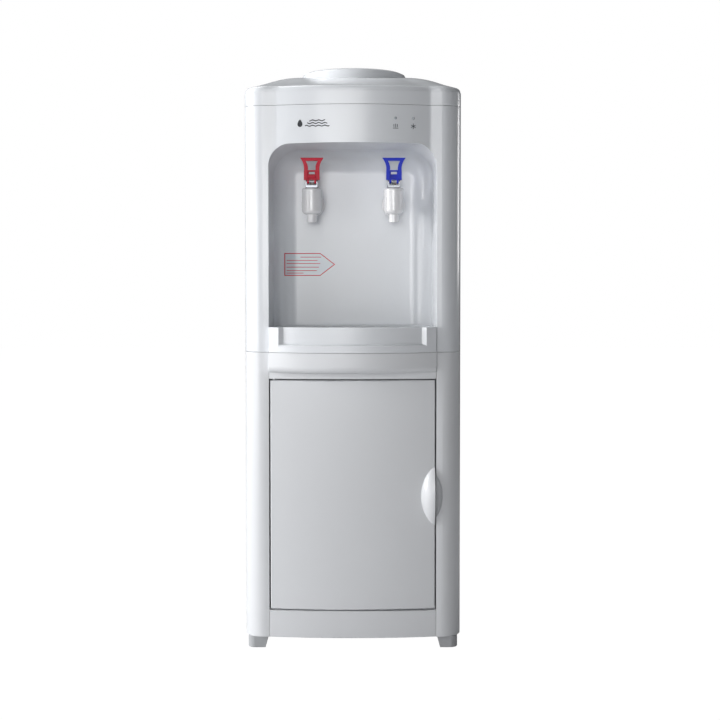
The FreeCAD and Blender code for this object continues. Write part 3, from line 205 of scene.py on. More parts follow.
# ------------------------------------------------------------------------------------------ shader groups
class Groups:
    """The effects that more than one finish uses, each built once as a node group."""

    def __init__(self) -> None:
        self.tone = self._tone()
        self.grain = self._grain()
        self.soft_edge = self._soft_edge()
        self.handling = self._handling()

    @staticmethod
    def _new(
        name: str, inputs: Sequence[tuple[str, str, object]], outputs: Sequence[tuple[str, str]]
    ) -> tuple[bpy.types.NodeTree, bpy.types.Node, bpy.types.Node]:
        """An empty group with its sockets.

        Args:
            name: the group's name.
            inputs: name, socket kind and default of each input.
            outputs: name and socket kind of each output.

        Returns:
            The group, its input node and its output node.
        """
        group = bpy.data.node_groups.new(name, "ShaderNodeTree")
        for label, kind, default in inputs:
            socket = group.interface.new_socket(label, in_out="INPUT", socket_type="NodeSocket" + kind)
            if default is not None:
                socket.default_value = default
        for label, kind in outputs:
            group.interface.new_socket(label, in_out="OUTPUT", socket_type="NodeSocket" + kind)
        return group, group.nodes.new("NodeGroupInput"), group.nodes.new("NodeGroupOutput")

    def _tone(self) -> bpy.types.NodeTree:
        """A colour that drifts a little over a moulding, as real plastic and paint do."""
        group, start, end = self._new(
            "tone_drift",
            [("Vector", "Vector", None), ("Colour", "Color", (0.8, 0.8, 0.8, 1.0)), ("Amount", "Float", 0.03),
             ("Scale", "Float", 6.0)],
            [("Colour", "Color")],
        )
        noise = group.nodes.new("ShaderNodeTexNoise")
        noise.inputs["Detail"].default_value = 3.0
        ramp = group.nodes.new("ShaderNodeMapRange")
        ramp.inputs["From Min"].default_value = 0.3
        ramp.inputs["From Max"].default_value = 0.7
        low = group.nodes.new("ShaderNodeMath")
        low.operation = "SUBTRACT"
        low.inputs[0].default_value = 1.0
        group.links.new(start.outputs["Amount"], low.inputs[1])
        group.links.new(low.outputs[0], ramp.inputs["To Min"])
        ramp.inputs["To Max"].default_value = 1.0
        scaled = group.nodes.new("ShaderNodeVectorMath")
        scaled.operation = "SCALE"
        group.links.new(start.outputs["Vector"], noise.inputs["Vector"])
        group.links.new(start.outputs["Scale"], noise.inputs["Scale"])
        group.links.new(noise.outputs["Fac"], ramp.inputs["Value"])
        group.links.new(start.outputs["Colour"], scaled.inputs[0])
        group.links.new(ramp.outputs["Result"], scaled.inputs["Scale"])
        group.links.new(scaled.outputs[0], end.inputs["Colour"])
        return group

    def _grain(self) -> bpy.types.NodeTree:
        """Fine surface grain as a height: a moulded skin's ripple with finer pits in it."""
        group, start, end = self._new(
            "skin_grain",
            [("Vector", "Vector", None), ("Scale", "Float", 600.0), ("Ripple", "Float", 0.4)],
            [("Height", "Float")],
        )
        fine = group.nodes.new("ShaderNodeTexNoise")
        fine.inputs["Detail"].default_value = 2.0
        broad = group.nodes.new("ShaderNodeTexNoise")
        broad.inputs["Detail"].default_value = 1.0
        slower = group.nodes.new("ShaderNodeMath")
        slower.operation = "MULTIPLY"
        slower.inputs[1].default_value = 0.06
        blend = group.nodes.new("ShaderNodeMix")
        group.links.new(start.outputs["Scale"], fine.inputs["Scale"])
        group.links.new(start.outputs["Scale"], slower.inputs[0])
        group.links.new(slower.outputs[0], broad.inputs["Scale"])
        group.links.new(start.outputs["Vector"], fine.inputs["Vector"])
        group.links.new(start.outputs["Vector"], broad.inputs["Vector"])
        group.links.new(start.outputs["Ripple"], blend.inputs["Factor"])
        group.links.new(fine.outputs["Fac"], blend.inputs["A"])
        group.links.new(broad.outputs["Fac"], blend.inputs["B"])
        group.links.new(blend.outputs["Result"], end.inputs["Height"])
        return group

    def _soft_edge(self) -> bpy.types.NodeTree:
        """A mask of a piece's own edges, from how far a rounded normal turns from the flat one. The finishes paint
        a highlight on edges through the mask and round the edges' shading through the normal.
        """
        group, start, end = self._new(
            "edge_mask",
            [("Radius", "Float", 0.0008), ("Gain", "Float", 3.0)],
            [("Mask", "Float"), ("Normal", "Vector")],
        )
        bevel = group.nodes.new("ShaderNodeBevel")
        bevel.samples = 4
        geometry = group.nodes.new("ShaderNodeNewGeometry")
        dot = group.nodes.new("ShaderNodeVectorMath")
        dot.operation = "DOT_PRODUCT"
        turned = group.nodes.new("ShaderNodeMath")
        turned.operation = "SUBTRACT"
        turned.inputs[0].default_value = 1.0
        gain = group.nodes.new("ShaderNodeMath")
        gain.operation = "MULTIPLY"
        gain.use_clamp = True
        group.links.new(start.outputs["Radius"], bevel.inputs["Radius"])
        group.links.new(bevel.outputs["Normal"], dot.inputs[0])
        group.links.new(geometry.outputs["Normal"], dot.inputs[1])
        group.links.new(dot.outputs["Value"], turned.inputs[1])
        group.links.new(turned.outputs[0], gain.inputs[0])
        group.links.new(start.outputs["Gain"], gain.inputs[1])
        group.links.new(gain.outputs[0], end.inputs["Mask"])
        group.links.new(bevel.outputs["Normal"], end.inputs["Normal"])
        return group

    def _handling(self) -> bpy.types.NodeTree:
        """A roughness that varies softly, where a wiped surface keeps faint smears."""
        group, start, end = self._new(
            "wiped_gloss",
            [("Vector", "Vector", None), ("Roughness", "Float", 0.3), ("Spread", "Float", 0.05),
             ("Scale", "Float", 14.0)],
            [("Roughness", "Float")],
        )
        stretch = group.nodes.new("ShaderNodeMapping")
        stretch.inputs["Scale"].default_value = (1.0, 1.0, 0.35)
        noise = group.nodes.new("ShaderNodeTexNoise")
        noise.inputs["Detail"].default_value = 4.0
        noise.inputs["Distortion"].default_value = 0.6
        centred = group.nodes.new("ShaderNodeMath")
        centred.operation = "SUBTRACT"
        centred.inputs[1].default_value = 0.5
        total = group.nodes.new("ShaderNodeMath")
        total.operation = "MULTIPLY_ADD"
        group.links.new(start.outputs["Vector"], stretch.inputs["Vector"])
        group.links.new(stretch.outputs["Vector"], noise.inputs["Vector"])
        group.links.new(start.outputs["Scale"], noise.inputs["Scale"])
        group.links.new(noise.outputs["Fac"], centred.inputs[0])
        group.links.new(centred.outputs[0], total.inputs[0])
        group.links.new(start.outputs["Spread"], total.inputs[1])
        group.links.new(start.outputs["Roughness"], total.inputs[2])
        group.links.new(total.outputs[0], end.inputs["Roughness"])
        return group


# ------------------------------------------------------------------------------------------ finishes
@dataclass(frozen=True)
class Finish:
    """A material with its own colour, gloss and grain.

    Attributes:
        name: the material's name.
        colour: linear base colour.
        roughness: middle of the roughness.
        spread: how far the roughness varies.
        drift: how far the colour darkens in places.
        grain_scale: grain per metre.
        grain_depth: height of the grain, in metres.
        edge_radius: how far edges look rounded, in metres.
        edge_highlight_tint: paler colour painted on edges as a highlight.
        edge_highlight_share: how much of that painted highlight shows.
        metallic: 1 for bare metal.
        coat: strength of a clear skin.
        specular: specular level.
    """

    name: str
    colour: Colour
    roughness: float = 0.3
    spread: float = 0.05
    drift: float = 0.02
    grain_scale: float = 700.0
    grain_depth: float = 0.00001
    edge_radius: float = 0.0006
    # paler edge colour: a painted highlight along every edge
    edge_highlight_tint: Colour = (1.0, 1.0, 1.0)
    edge_highlight_share: float = 0.0
    metallic: float = 0.0
    coat: float = 0.0
    specular: float = 0.5

    def build(self, groups: Groups) -> bpy.types.Material:
        """Makes the material.

        Args:
            groups: the shared effects.

        Returns:
            The finished material.
        """
        material = bpy.data.materials.new(self.name)
        material.use_nodes = True
        tree = material.node_tree
        shader = tree.nodes["Principled BSDF"]
        shader.inputs["Metallic"].default_value = self.metallic
        shader.inputs["Coat Weight"].default_value = self.coat
        shader.inputs["Coat Roughness"].default_value = 0.12
        shader.inputs["Specular IOR Level"].default_value = self.specular
        place = tree.nodes.new("ShaderNodeTexCoord").outputs["Object"]
        edge = self._group(tree, groups.soft_edge, Radius=self.edge_radius)
        colour = self.colour_output(tree, groups, place, edge)
        tree.links.new(colour, shader.inputs["Base Color"])
        gloss = self._group(tree, groups.handling, Roughness=self.roughness, Spread=self.spread)
        tree.links.new(place, gloss.inputs["Vector"])
        tree.links.new(gloss.outputs["Roughness"], shader.inputs["Roughness"])
        bump = tree.nodes.new("ShaderNodeBump")
        bump.inputs["Distance"].default_value = self.grain_depth
        tree.links.new(self.height_output(tree, groups, place), bump.inputs["Height"])
        tree.links.new(edge.outputs["Normal"], bump.inputs["Normal"])
        tree.links.new(bump.outputs["Normal"], shader.inputs["Normal"])
        self.adjust(shader)
        return material

    def colour_output(self, tree: bpy.types.NodeTree, groups: Groups, place: bpy.types.NodeSocket,
                      edge: bpy.types.Node) -> bpy.types.NodeSocket:
        """The colour over the surface, drifting in places, with a highlight painted in a paler colour on its
        edges.

        Args:
            tree: the material's nodes.
            groups: the shared effects.
            place: the position on the piece.
            edge: the placed edge mask.

        Returns:
            The colour's socket.
        """
        tone = self._group(tree, groups.tone, Colour=(*self.colour, 1.0), Amount=self.drift)
        tree.links.new(place, tone.inputs["Vector"])
        # edges are mixed towards a paler colour here: a painted highlight
        if self.edge_highlight_share <= 0:
            return tone.outputs["Colour"]
        share = tree.nodes.new("ShaderNodeMath")
        share.operation = "MULTIPLY"
        share.inputs[1].default_value = self.edge_highlight_share
        tree.links.new(edge.outputs["Mask"], share.inputs[0])
        mix = tree.nodes.new("ShaderNodeMix")
        mix.data_type = "RGBA"
        tree.links.new(share.outputs[0], mix.inputs["Factor"])
        tree.links.new(tone.outputs["Colour"], mix.inputs["A"])
        mix.inputs["B"].default_value = (*self.edge_highlight_tint, 1.0)
        return mix.outputs["Result"]

    def height_output(self, tree: bpy.types.NodeTree, groups: Groups,
                      place: bpy.types.NodeSocket) -> bpy.types.NodeSocket:
        """The height of the surface's grain.

        Args:
            tree: the material's nodes.
            groups: the shared effects.
            place: the position on the piece.

        Returns:
            The height's socket.
        """
        grain = self._group(tree, groups.grain, Scale=self.grain_scale)
        tree.links.new(place, grain.inputs["Vector"])
        return grain.outputs["Height"]

    def adjust(self, shader: bpy.types.Node) -> None:
        """Room for a finish to add its own settings.

        Args:
            shader: the material's shader.
        """

    @staticmethod
    def _group(tree: bpy.types.NodeTree, group: bpy.types.NodeTree, **values: object) -> bpy.types.Node:
        """Places a node group in a material with its own values.

        Args:
            tree: the material's nodes.
            group: the shared effect.
            values: what its inputs are set to.

        Returns:
            The placed node.
        """
        node = tree.nodes.new("ShaderNodeGroup")
        node.node_tree = group
        for name, value in values.items():
            node.inputs[name].default_value = value
        return node


@dataclass(frozen=True)
class Brushed(Finish):
    """Sheet metal or wire with fine lines drawn along one axis."""

    along: Axis = Axis.X

    def height_output(self, tree: bpy.types.NodeTree, groups: Groups,
                      place: bpy.types.NodeSocket) -> bpy.types.NodeSocket:
        """Fine lines stretched along the drawing direction."""
        stretch = tree.nodes.new("ShaderNodeMapping")
        scale = [1.0, 1.0, 1.0]
        scale[self.along.value] = 0.02
        stretch.inputs["Scale"].default_value = scale
        tree.links.new(place, stretch.inputs["Vector"])
        grain = self._group(tree, groups.grain, Scale=self.grain_scale, Ripple=0.2)
        tree.links.new(stretch.outputs["Vector"], grain.inputs["Vector"])
        return grain.outputs["Height"]


@dataclass(frozen=True)
class Beaded(Finish):
    """Expanded foam: packed beads with dark joints between them."""

    bead: float = 0.004

    def height_output(self, tree: bpy.types.NodeTree, groups: Groups,
                      place: bpy.types.NodeSocket) -> bpy.types.NodeSocket:
        """Rounded beads."""
        cells = tree.nodes.new("ShaderNodeTexVoronoi")
        cells.inputs["Scale"].default_value = 1 / self.bead
        tree.links.new(place, cells.inputs["Vector"])
        flip = tree.nodes.new("ShaderNodeMath")
        flip.operation = "SUBTRACT"
        flip.inputs[0].default_value = 1.0
        tree.links.new(cells.outputs["Distance"], flip.inputs[1])
        return flip.outputs[0]


@dataclass(frozen=True)
class Board(Finish):
    """A circuit board: solder mask with paler tracks under it."""

    track: Colour = (0.06, 0.25, 0.12)

    def colour_output(self, tree: bpy.types.NodeTree, groups: Groups, place: bpy.types.NodeSocket,
                      edge: bpy.types.Node) -> bpy.types.NodeSocket:
        """Tracks as the borders of square cells."""
        cells = tree.nodes.new("ShaderNodeTexVoronoi")
        cells.distance = "CHEBYCHEV"
        cells.feature = "F1"
        cells.inputs["Scale"].default_value = 160.0
        tree.links.new(place, cells.inputs["Vector"])
        step = tree.nodes.new("ShaderNodeMapRange")
        step.inputs["From Min"].default_value = 0.30
        step.inputs["From Max"].default_value = 0.34
        tree.links.new(cells.outputs["Distance"], step.inputs["Value"])
        mix = tree.nodes.new("ShaderNodeMix")
        mix.data_type = "RGBA"
        tree.links.new(step.outputs["Result"], mix.inputs["Factor"])
        mix.inputs["A"].default_value = (*self.colour, 1.0)
        mix.inputs["B"].default_value = (*self.track, 1.0)
        return mix.outputs["Result"]


@dataclass(frozen=True)
class ClearPlastic(Finish):
    """A moulded light pipe that lets light through."""

    transmission: float = 0.8

    def adjust(self, shader: bpy.types.Node) -> None:
        """Lets light through."""
        shader.inputs["Transmission Weight"].default_value = self.transmission
        shader.inputs["IOR"].default_value = 1.49


@dataclass(frozen=True)
class SoftSilicone(Finish):
    """Translucent rubber with light spread inside it."""

    spread_depth: float = 0.002

    def adjust(self, shader: bpy.types.Node) -> None:
        """Spreads light just under the skin."""
        shader.inputs["Subsurface Weight"].default_value = 0.3
        shader.inputs["Subsurface Scale"].default_value = self.spread_depth


# near-white edge colour for the white pieces: a painted highlight on their edges
WHITE_EDGE_HIGHLIGHT = srgb(250, 250, 252)

# in each finish the colour after the edge radius, and its share, paint a highlight on the edges
FINISHES = {
    "white_moulding": Finish("white_gloss_moulding", srgb(226, 229, 233), 0.24, 0.06, 0.015, 500.0, 0.000012,
                             0.0007, WHITE_EDGE_HIGHLIGHT, 0.10, coat=0.25),
    "white_panel": Finish("white_satin_panel", srgb(224, 226, 229), 0.30, 0.06, 0.015, 600.0, 0.000014,
                          0.0007, WHITE_EDGE_HIGHLIGHT, 0.10, coat=0.15),
    "painted_sheet": Finish("powder_coated_sheet", srgb(206, 209, 212), 0.46, 0.06, 0.03, 900.0, 0.00004,
                            0.0004, srgb(235, 236, 238), 0.2),
    "galvanised_sheet": Brushed("zinc_coated_sheet", srgb(168, 172, 176), 0.42, 0.12, 0.12, 900.0, 0.00001,
                                0.0004, srgb(205, 208, 210), 0.3, metallic=1.0),
    "grey_feet": Finish("grey_foot_plastic", srgb(176, 178, 181), 0.5, 0.06, 0.04, 900.0, 0.00003,
                        0.0006, srgb(200, 202, 204), 0.2),
    "liner_plastic": Finish("matt_white_plastic", srgb(218, 220, 222), 0.48, 0.06, 0.02, 900.0, 0.00003, 0.0005),
    "zinc_pins": Brushed("bright_zinc", srgb(186, 188, 190), 0.28, 0.08, 0.06, 1500.0, 0.000006, 0.0003,
                         metallic=1.0, along=Axis.Z),
    "black_rubber": Finish("black_rubber", srgb(36, 36, 38), 0.62, 0.08, 0.1, 1200.0, 0.00004, 0.0004,
                           srgb(60, 60, 62), 0.4),
    "grille_plastic": Finish("grey_white_grille", srgb(208, 211, 214), 0.34, 0.06, 0.02, 700.0, 0.00002, 0.0005,
                             WHITE_EDGE_HIGHLIGHT, 0.12),
    "tap_white": Finish("tap_gloss_white", srgb(238, 238, 240), 0.16, 0.04, 0.01, 500.0, 0.000008, 0.0006,
                        WHITE_EDGE_HIGHLIGHT, 0.08, coat=0.6),
    "plunger_silicone": SoftSilicone("soft_white_silicone", srgb(222, 220, 214), 0.42, 0.06, 0.02, 900.0, 0.00002),
    "spring_steel": Brushed("spring_wire", srgb(176, 178, 180), 0.25, 0.06, 0.04, 2000.0, 0.000004, 0.0001,
                            metallic=1.0, along=Axis.Z),
    "lever_red": Finish("lever_red", srgb(206, 12, 50), 0.38, 0.05, 0.05, 600.0, 0.00001, 0.0007,
                        srgb(226, 60, 96), 0.15, specular=0.22),
    "lever_blue": Finish("lever_blue", srgb(16, 44, 196), 0.38, 0.05, 0.05, 600.0, 0.00001, 0.0007,
                         srgb(70, 106, 232), 0.15, specular=0.22),
    "bonnet_chrome": Finish("bonnet_chrome", srgb(118, 120, 124), 0.20, 0.04, 0.03, 900.0, 0.000003, 0.0005,
                            metallic=1.0),
    "silicone": SoftSilicone("silicone_rubber", srgb(218, 219, 216), 0.45, 0.08, 0.03, 900.0, 0.00002),
    "tank_steel": Brushed("stainless_tank", srgb(188, 190, 192), 0.30, 0.08, 0.06, 1100.0, 0.000008, 0.0004,
                          metallic=1.0, along=Axis.X),
    "foam": Beaded("bead_foam", srgb(236, 235, 228), 0.8, 0.05, 0.05, 250.0, 0.0004, 0.001),
    "aluminium": Brushed("extruded_aluminium", srgb(196, 198, 200), 0.34, 0.08, 0.05, 1300.0, 0.000008, 0.0002,
                         metallic=1.0, along=Axis.Y),
    "ceramic_white": Finish("alumina_plate", srgb(234, 234, 230), 0.6, 0.05, 0.03, 1500.0, 0.00002, 0.0002),
    "black_plastic": Finish("matt_black_plastic", srgb(30, 31, 33), 0.45, 0.08, 0.08, 1000.0, 0.00003, 0.0004,
                            srgb(58, 59, 61), 0.3),
    "switch_red": Finish("rocker_red", srgb(186, 26, 34), 0.26, 0.05, 0.04, 800.0, 0.00001, 0.0004,
                         srgb(226, 96, 96), 0.3, coat=0.3),
    "switch_green": Finish("rocker_green", srgb(26, 132, 66), 0.26, 0.05, 0.04, 800.0, 0.00001, 0.0004,
                           srgb(96, 190, 120), 0.3, coat=0.3),
    "board_green": Board("circuit_board", srgb(18, 74, 44), 0.35, 0.06, 0.05, 1200.0, 0.00001, 0.0002),
    "lens_clear": ClearPlastic("light_pipe", srgb(170, 178, 186), 0.14, 0.03, 0.01, 700.0, 0.000004, 0.0003,
                               transmission=0.35),
}

PRINT_GREY = Finish("print_dark_grey", srgb(40, 43, 48), 0.42, 0.04, 0.05, 1500.0, 0.000004, 0.0001)
PRINT_PALE = Finish("print_mid_grey", srgb(84, 89, 96), 0.42, 0.04, 0.05, 1500.0, 0.000004, 0.0001)
PRINT_RED = Finish("print_red", srgb(214, 44, 62), 0.40, 0.04, 0.05, 1500.0, 0.000004, 0.0001)
LABEL_FILM = Finish("label_film", srgb(214, 219, 226), 0.22, 0.04, 0.01, 900.0, 0.000006, 0.0002, coat=0.3)


class Wardrobe:
    """Every material, made once."""

    def __init__(self) -> None:
        self.groups = Groups()
        self.by_slot = {slot: finish.build(self.groups) for slot, finish in FINISHES.items()}
        self.print_grey = PRINT_GREY.build(self.groups)
        self.print_pale = PRINT_PALE.build(self.groups)
        self.print_red = PRINT_RED.build(self.groups)
        self.label_film = LABEL_FILM.build(self.groups)

    def dress_nodes(self) -> None:
        """Gives each CAD node the finish of its slot."""
        for entry in frame["record"]["subparts"]:
            node = frame["nodes"][entry["node"]]
            node.data.materials.clear()
            node.data.materials.append(self.by_slot[entry["material_slot"]])
            LOG.info("%s is dressed as %s", entry["node"], entry["material_slot"])


# ------------------------------------------------------------------------------------------ flat prints
@dataclass
class Print:
    """A thin flat print on a surface that faces the front, laid on by projection.

    Attributes:
        target: the CAD node that it lies on.
        thickness: how thick the ink or film is.
        lift: how far it stands off the surface.
    """

    target: str
    thickness: float = 0.00015
    lift: float = 0.0001

    def lay(self, piece: bpy.types.Object) -> None:
        """Projects a flat piece onto the target and gives it thickness.

        Args:
            piece: a flat mesh in front of the target, facing it.
        """
        apply_modifier(
            piece, "SHRINKWRAP", target=frame["nodes"][self.target], wrap_method="PROJECT", use_project_y=True,
            use_negative_direction=False, use_positive_direction=True, offset=self.lift,
        )
        apply_modifier(piece, "SOLIDIFY", thickness=self.thickness, offset=1.0)
        finish_mesh(piece, 30.0)

    @staticmethod
    def bar(x: float, y: float, z: float, width: float, height: float, turn: float = 0.0) -> bpy.types.Object:
        """A flat bar with rounded ends, upright and facing the front.

        Args:
            x: middle, across.
            y: where the sheet stands, in front of its target.
            z: middle, up.
            width: length of the bar.
            height: its width.
            turn: degrees that it is turned.

        Returns:
            The flat mesh.
        """
        start_clean()
        bpy.ops.mesh.primitive_plane_add(size=1.0, location=(x, y, z))
        piece = bpy.context.active_object
        piece.scale = (width, height, 1.0)
        piece.rotation_euler = (math.pi / 2, math.radians(turn), 0.0)
        bpy.ops.object.transform_apply(location=True, rotation=True, scale=True)
        edit(piece)
        bpy.ops.mesh.select_mode(type="VERT")
        bpy.ops.mesh.bevel(offset=min(width, height) * 0.45, segments=4, affect="VERTICES")
        cuts = max(1, int(max(width, height) / CUT_LENGTH))
        for step in range(1, cuts):
            along = -0.5 + step / cuts
            bpy.ops.mesh.select_all(action="SELECT")
            if width >= height:
                bpy.ops.mesh.bisect(plane_co=(x + along * width, y, z), plane_no=(1.0, 0.0, 0.0))
            else:
                bpy.ops.mesh.bisect(plane_co=(x, y, z + along * height), plane_no=(0.0, 0.0, 1.0))
        start_clean()
        return piece


@dataclass
class BandPrints:
    """The plain mark and the indicator signs on the bowed band."""

    mark_x: float = -0.0545
    mark_z: float = 0.7335
    mark_height: float = 0.0100
    drop_shift: float = -0.018
    drop_share: float = 0.34
    ripple_shift: float = 0.006
    ripple_length: float = 0.034
    ripple_shortening: float = 0.006
    ripple_width: float = 0.0014
    ripple_height: float = 0.0007
    ripple_wave: float = 0.0085
    ripple_pitch: float = 0.36
    sign_drop: float = 0.0085
    sign_width: float = 0.0076
    sign_line: float = 0.0009
    stand_off: float = 0.03

    def build(self, wardrobe: Wardrobe) -> None:
        """Makes the mark and both signs."""
        self.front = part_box("front_moulding")[0].y - self.stand_off
        self.make_mark(wardrobe)
        lenses_low, lenses_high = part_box("indicator_lenses")
        radius = (lenses_high.z - lenses_low.z) / 2
        sign_z = lenses_low.z - self.sign_drop
        self.make_heat_sign(wardrobe, lenses_low.x + radius, sign_z)
        self.make_cold_sign(wardrobe, lenses_high.x - radius, sign_z)

    def make_mark(self, wardrobe: Wardrobe) -> None:
        """A water drop beside three plain ripples."""
        pieces = [self.make_drop(self.mark_x + self.drop_shift, self.mark_z, self.mark_height)]
        for row in range(3):
            z = self.mark_z + (row - 1) * self.mark_height * self.ripple_pitch
            length = self.ripple_length - self.ripple_shortening * row
            pieces.append(self.make_ripple(self.mark_x + self.ripple_shift, z, length))
        mark = join(pieces, "band_mark")
        Print("front_moulding").lay(mark)
        own(mark, "housing", wardrobe.print_grey)

    def make_drop(self, x: float, z: float, height: float) -> bpy.types.Object:
        """A flat water drop.

        Args:
            x: middle, across.
            z: middle, up.
            height: from its foot to its tip.

        Returns:
            The flat mesh.
        """
        start_clean()
        radius = height * self.drop_share
        centre = z - height / 2 + radius
        bpy.ops.mesh.primitive_circle_add(vertices=32, radius=radius, fill_type="NGON",
                                          location=(x, self.front, centre), rotation=(math.pi / 2, 0.0, 0.0))
        drop = bpy.context.active_object
        bpy.ops.object.transform_apply(location=True, rotation=True, scale=True)
        edit(drop)
        pick(drop, lambda co: co.z > centre + radius * 0.97)
        bpy.ops.transform.translate(value=(0.0, 0.0, height - 2 * radius), use_proportional_edit=True,
                                    proportional_edit_falloff="SHARP", proportional_size=radius * 1.9)
        start_clean()
        return drop

    def make_ripple(self, x: float, z: float, width: float) -> bpy.types.Object:
        """A flat wavy line.

        Args:
            x: middle, across.
            z: middle, up.
            width: its length.

        Returns:
            The flat mesh.
        """
        line = Print.bar(x, self.front, z, width, self.ripple_width)
        for vertex in line.data.vertices:
            vertex.co.z += self.ripple_height * math.sin(2 * math.pi * (vertex.co.x - x) / self.ripple_wave)
        return line

    def make_heat_sign(self, wardrobe: Wardrobe, x: float, z: float) -> None:
        """Three short rising lines, for hot."""
        bars = [
            Print.bar(x + step * 0.0024, self.front, z, self.sign_line, 0.0050 - 0.0010 * abs(step))
            for step in (-1, 0, 1)
        ]
        bars.append(Print.bar(x, self.front, z - 0.0036, self.sign_width, self.sign_line))
        sign = join(bars, "heat_sign")
        Print("front_moulding").lay(sign)
        own(sign, "housing", wardrobe.print_pale)

    def make_cold_sign(self, wardrobe: Wardrobe, x: float, z: float) -> None:
        """Three crossed lines, for cold."""
        bars = [
            Print.bar(x, self.front, z - 0.0006, self.sign_width, self.sign_line, turn)
            for turn in (30.0, 90.0, 150.0)
        ]
        sign = join(bars, "cold_sign")
        Print("front_moulding").lay(sign)
        own(sign, "housing", wardrobe.print_pale)


@dataclass
class BayLabel:
    """The red arrow label on the bay's back wall, with plain bars for its lines."""

    left: float = -0.1000
    shoulder: float = -0.0480
    tip: float = -0.0265
    top: float = 0.5560
    bottom: float = 0.5230
    rule: float = 0.0012
    line_width: float = 0.0009
    line_inset: float = 0.003
    first_line_shift: float = 0.02
    film_thickness: float = 0.00012
    film_lift: float = 0.00008
    ink_thickness: float = 0.00008
    ink_lift: float = 0.00024
    strip_width: float = 0.0025
    stand_off: float = 0.055

    def build(self, wardrobe: Wardrobe) -> None:
        """Makes the film, its outline and its bars."""
        self.wall_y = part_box("hot_tap_body")[1].y - self.stand_off
        film = self.arrow("label_film")
        self.strip(film)
        Print("front_moulding", self.film_thickness, self.film_lift).lay(film)
        own(film, "housing", wardrobe.label_film)
        outline = self.arrow("label_outline")
        self.hollow(outline)
        self.strip(outline)
        Print("front_moulding", self.ink_thickness, self.ink_lift).lay(outline)
        own(outline, "housing", wardrobe.print_red)
        bars = []
        middle = (self.top + self.bottom) / 2
        lines = ((0.32, 0.62), (0.18, 0.92), (0.04, 1.0), (-0.12, 0.96), (-0.27, 0.9), (-0.38, 0.5))
        for row, (share, length) in enumerate(lines):
            width = (self.shoulder - self.left) * 0.94 * length
            z = middle + share * (self.top - self.bottom)
            start = self.left + self.line_inset + (self.first_line_shift if row == 0 else 0.0)
            bars.append(Print.bar(start + width / 2, self.wall_y, z, width, self.line_width))
        printed = join(bars, "label_lines")
        Print("front_moulding", self.ink_thickness, self.ink_lift).lay(printed)
        own(printed, "housing", wardrobe.print_red)

    def arrow(self, name: str) -> bpy.types.Object:
        """A flat arrow outline that points to the right.

        Args:
            name: the piece's name.

        Returns:
            The flat mesh.
        """
        start_clean()
        width = self.shoulder - self.left
        height = self.top - self.bottom
        centre = ((self.left + self.shoulder) / 2, self.wall_y, (self.top + self.bottom) / 2)
        bpy.ops.mesh.primitive_plane_add(size=1.0, location=centre, rotation=(math.pi / 2, 0.0, 0.0))
        piece = bpy.context.active_object
        piece.name = name
        piece.scale = (width, height, 1.0)
        bpy.ops.object.transform_apply(location=True, rotation=True, scale=True)
        edit(piece)
        pick(piece, lambda co: co.x > self.shoulder - MM, Element.EDGE)
        bpy.ops.mesh.extrude_region_move(TRANSFORM_OT_translate={"value": (self.tip - self.shoulder, 0.0, 0.0)})
        bpy.ops.transform.resize(value=(1.0, 1.0, 0.0), center_override=(self.tip, self.wall_y, centre[2]))
        bpy.ops.mesh.select_all(action="SELECT")
        bpy.ops.mesh.remove_doubles(threshold=0.00001)
        bpy.ops.mesh.dissolve_limited(angle_limit=0.01)
        bpy.ops.mesh.normals_make_consistent(inside=False)
        start_clean()
        return piece

    def strip(self, piece: bpy.types.Object) -> None:
        """Cuts the piece into narrow upright strips, so that it can follow the wall's curve."""
        strips = int((self.tip - self.left) / self.strip_width)
        edit(piece)
        for step in range(1, strips):
            bpy.ops.mesh.select_all(action="SELECT")
            cut = (self.left + step * self.strip_width, self.wall_y, 0.0)
            bpy.ops.mesh.bisect(plane_co=cut, plane_no=(1.0, 0.0, 0.0))
        start_clean()

    def hollow(self, piece: bpy.types.Object) -> None:
        """Leaves only a rule's width along the arrow's edge."""
        edit(piece)
        bpy.ops.mesh.select_mode(type="FACE")
        bpy.ops.mesh.select_all(action="SELECT")
        bpy.ops.mesh.inset(thickness=self.rule)
        bpy.ops.mesh.delete(type="FACE")
        start_clean()


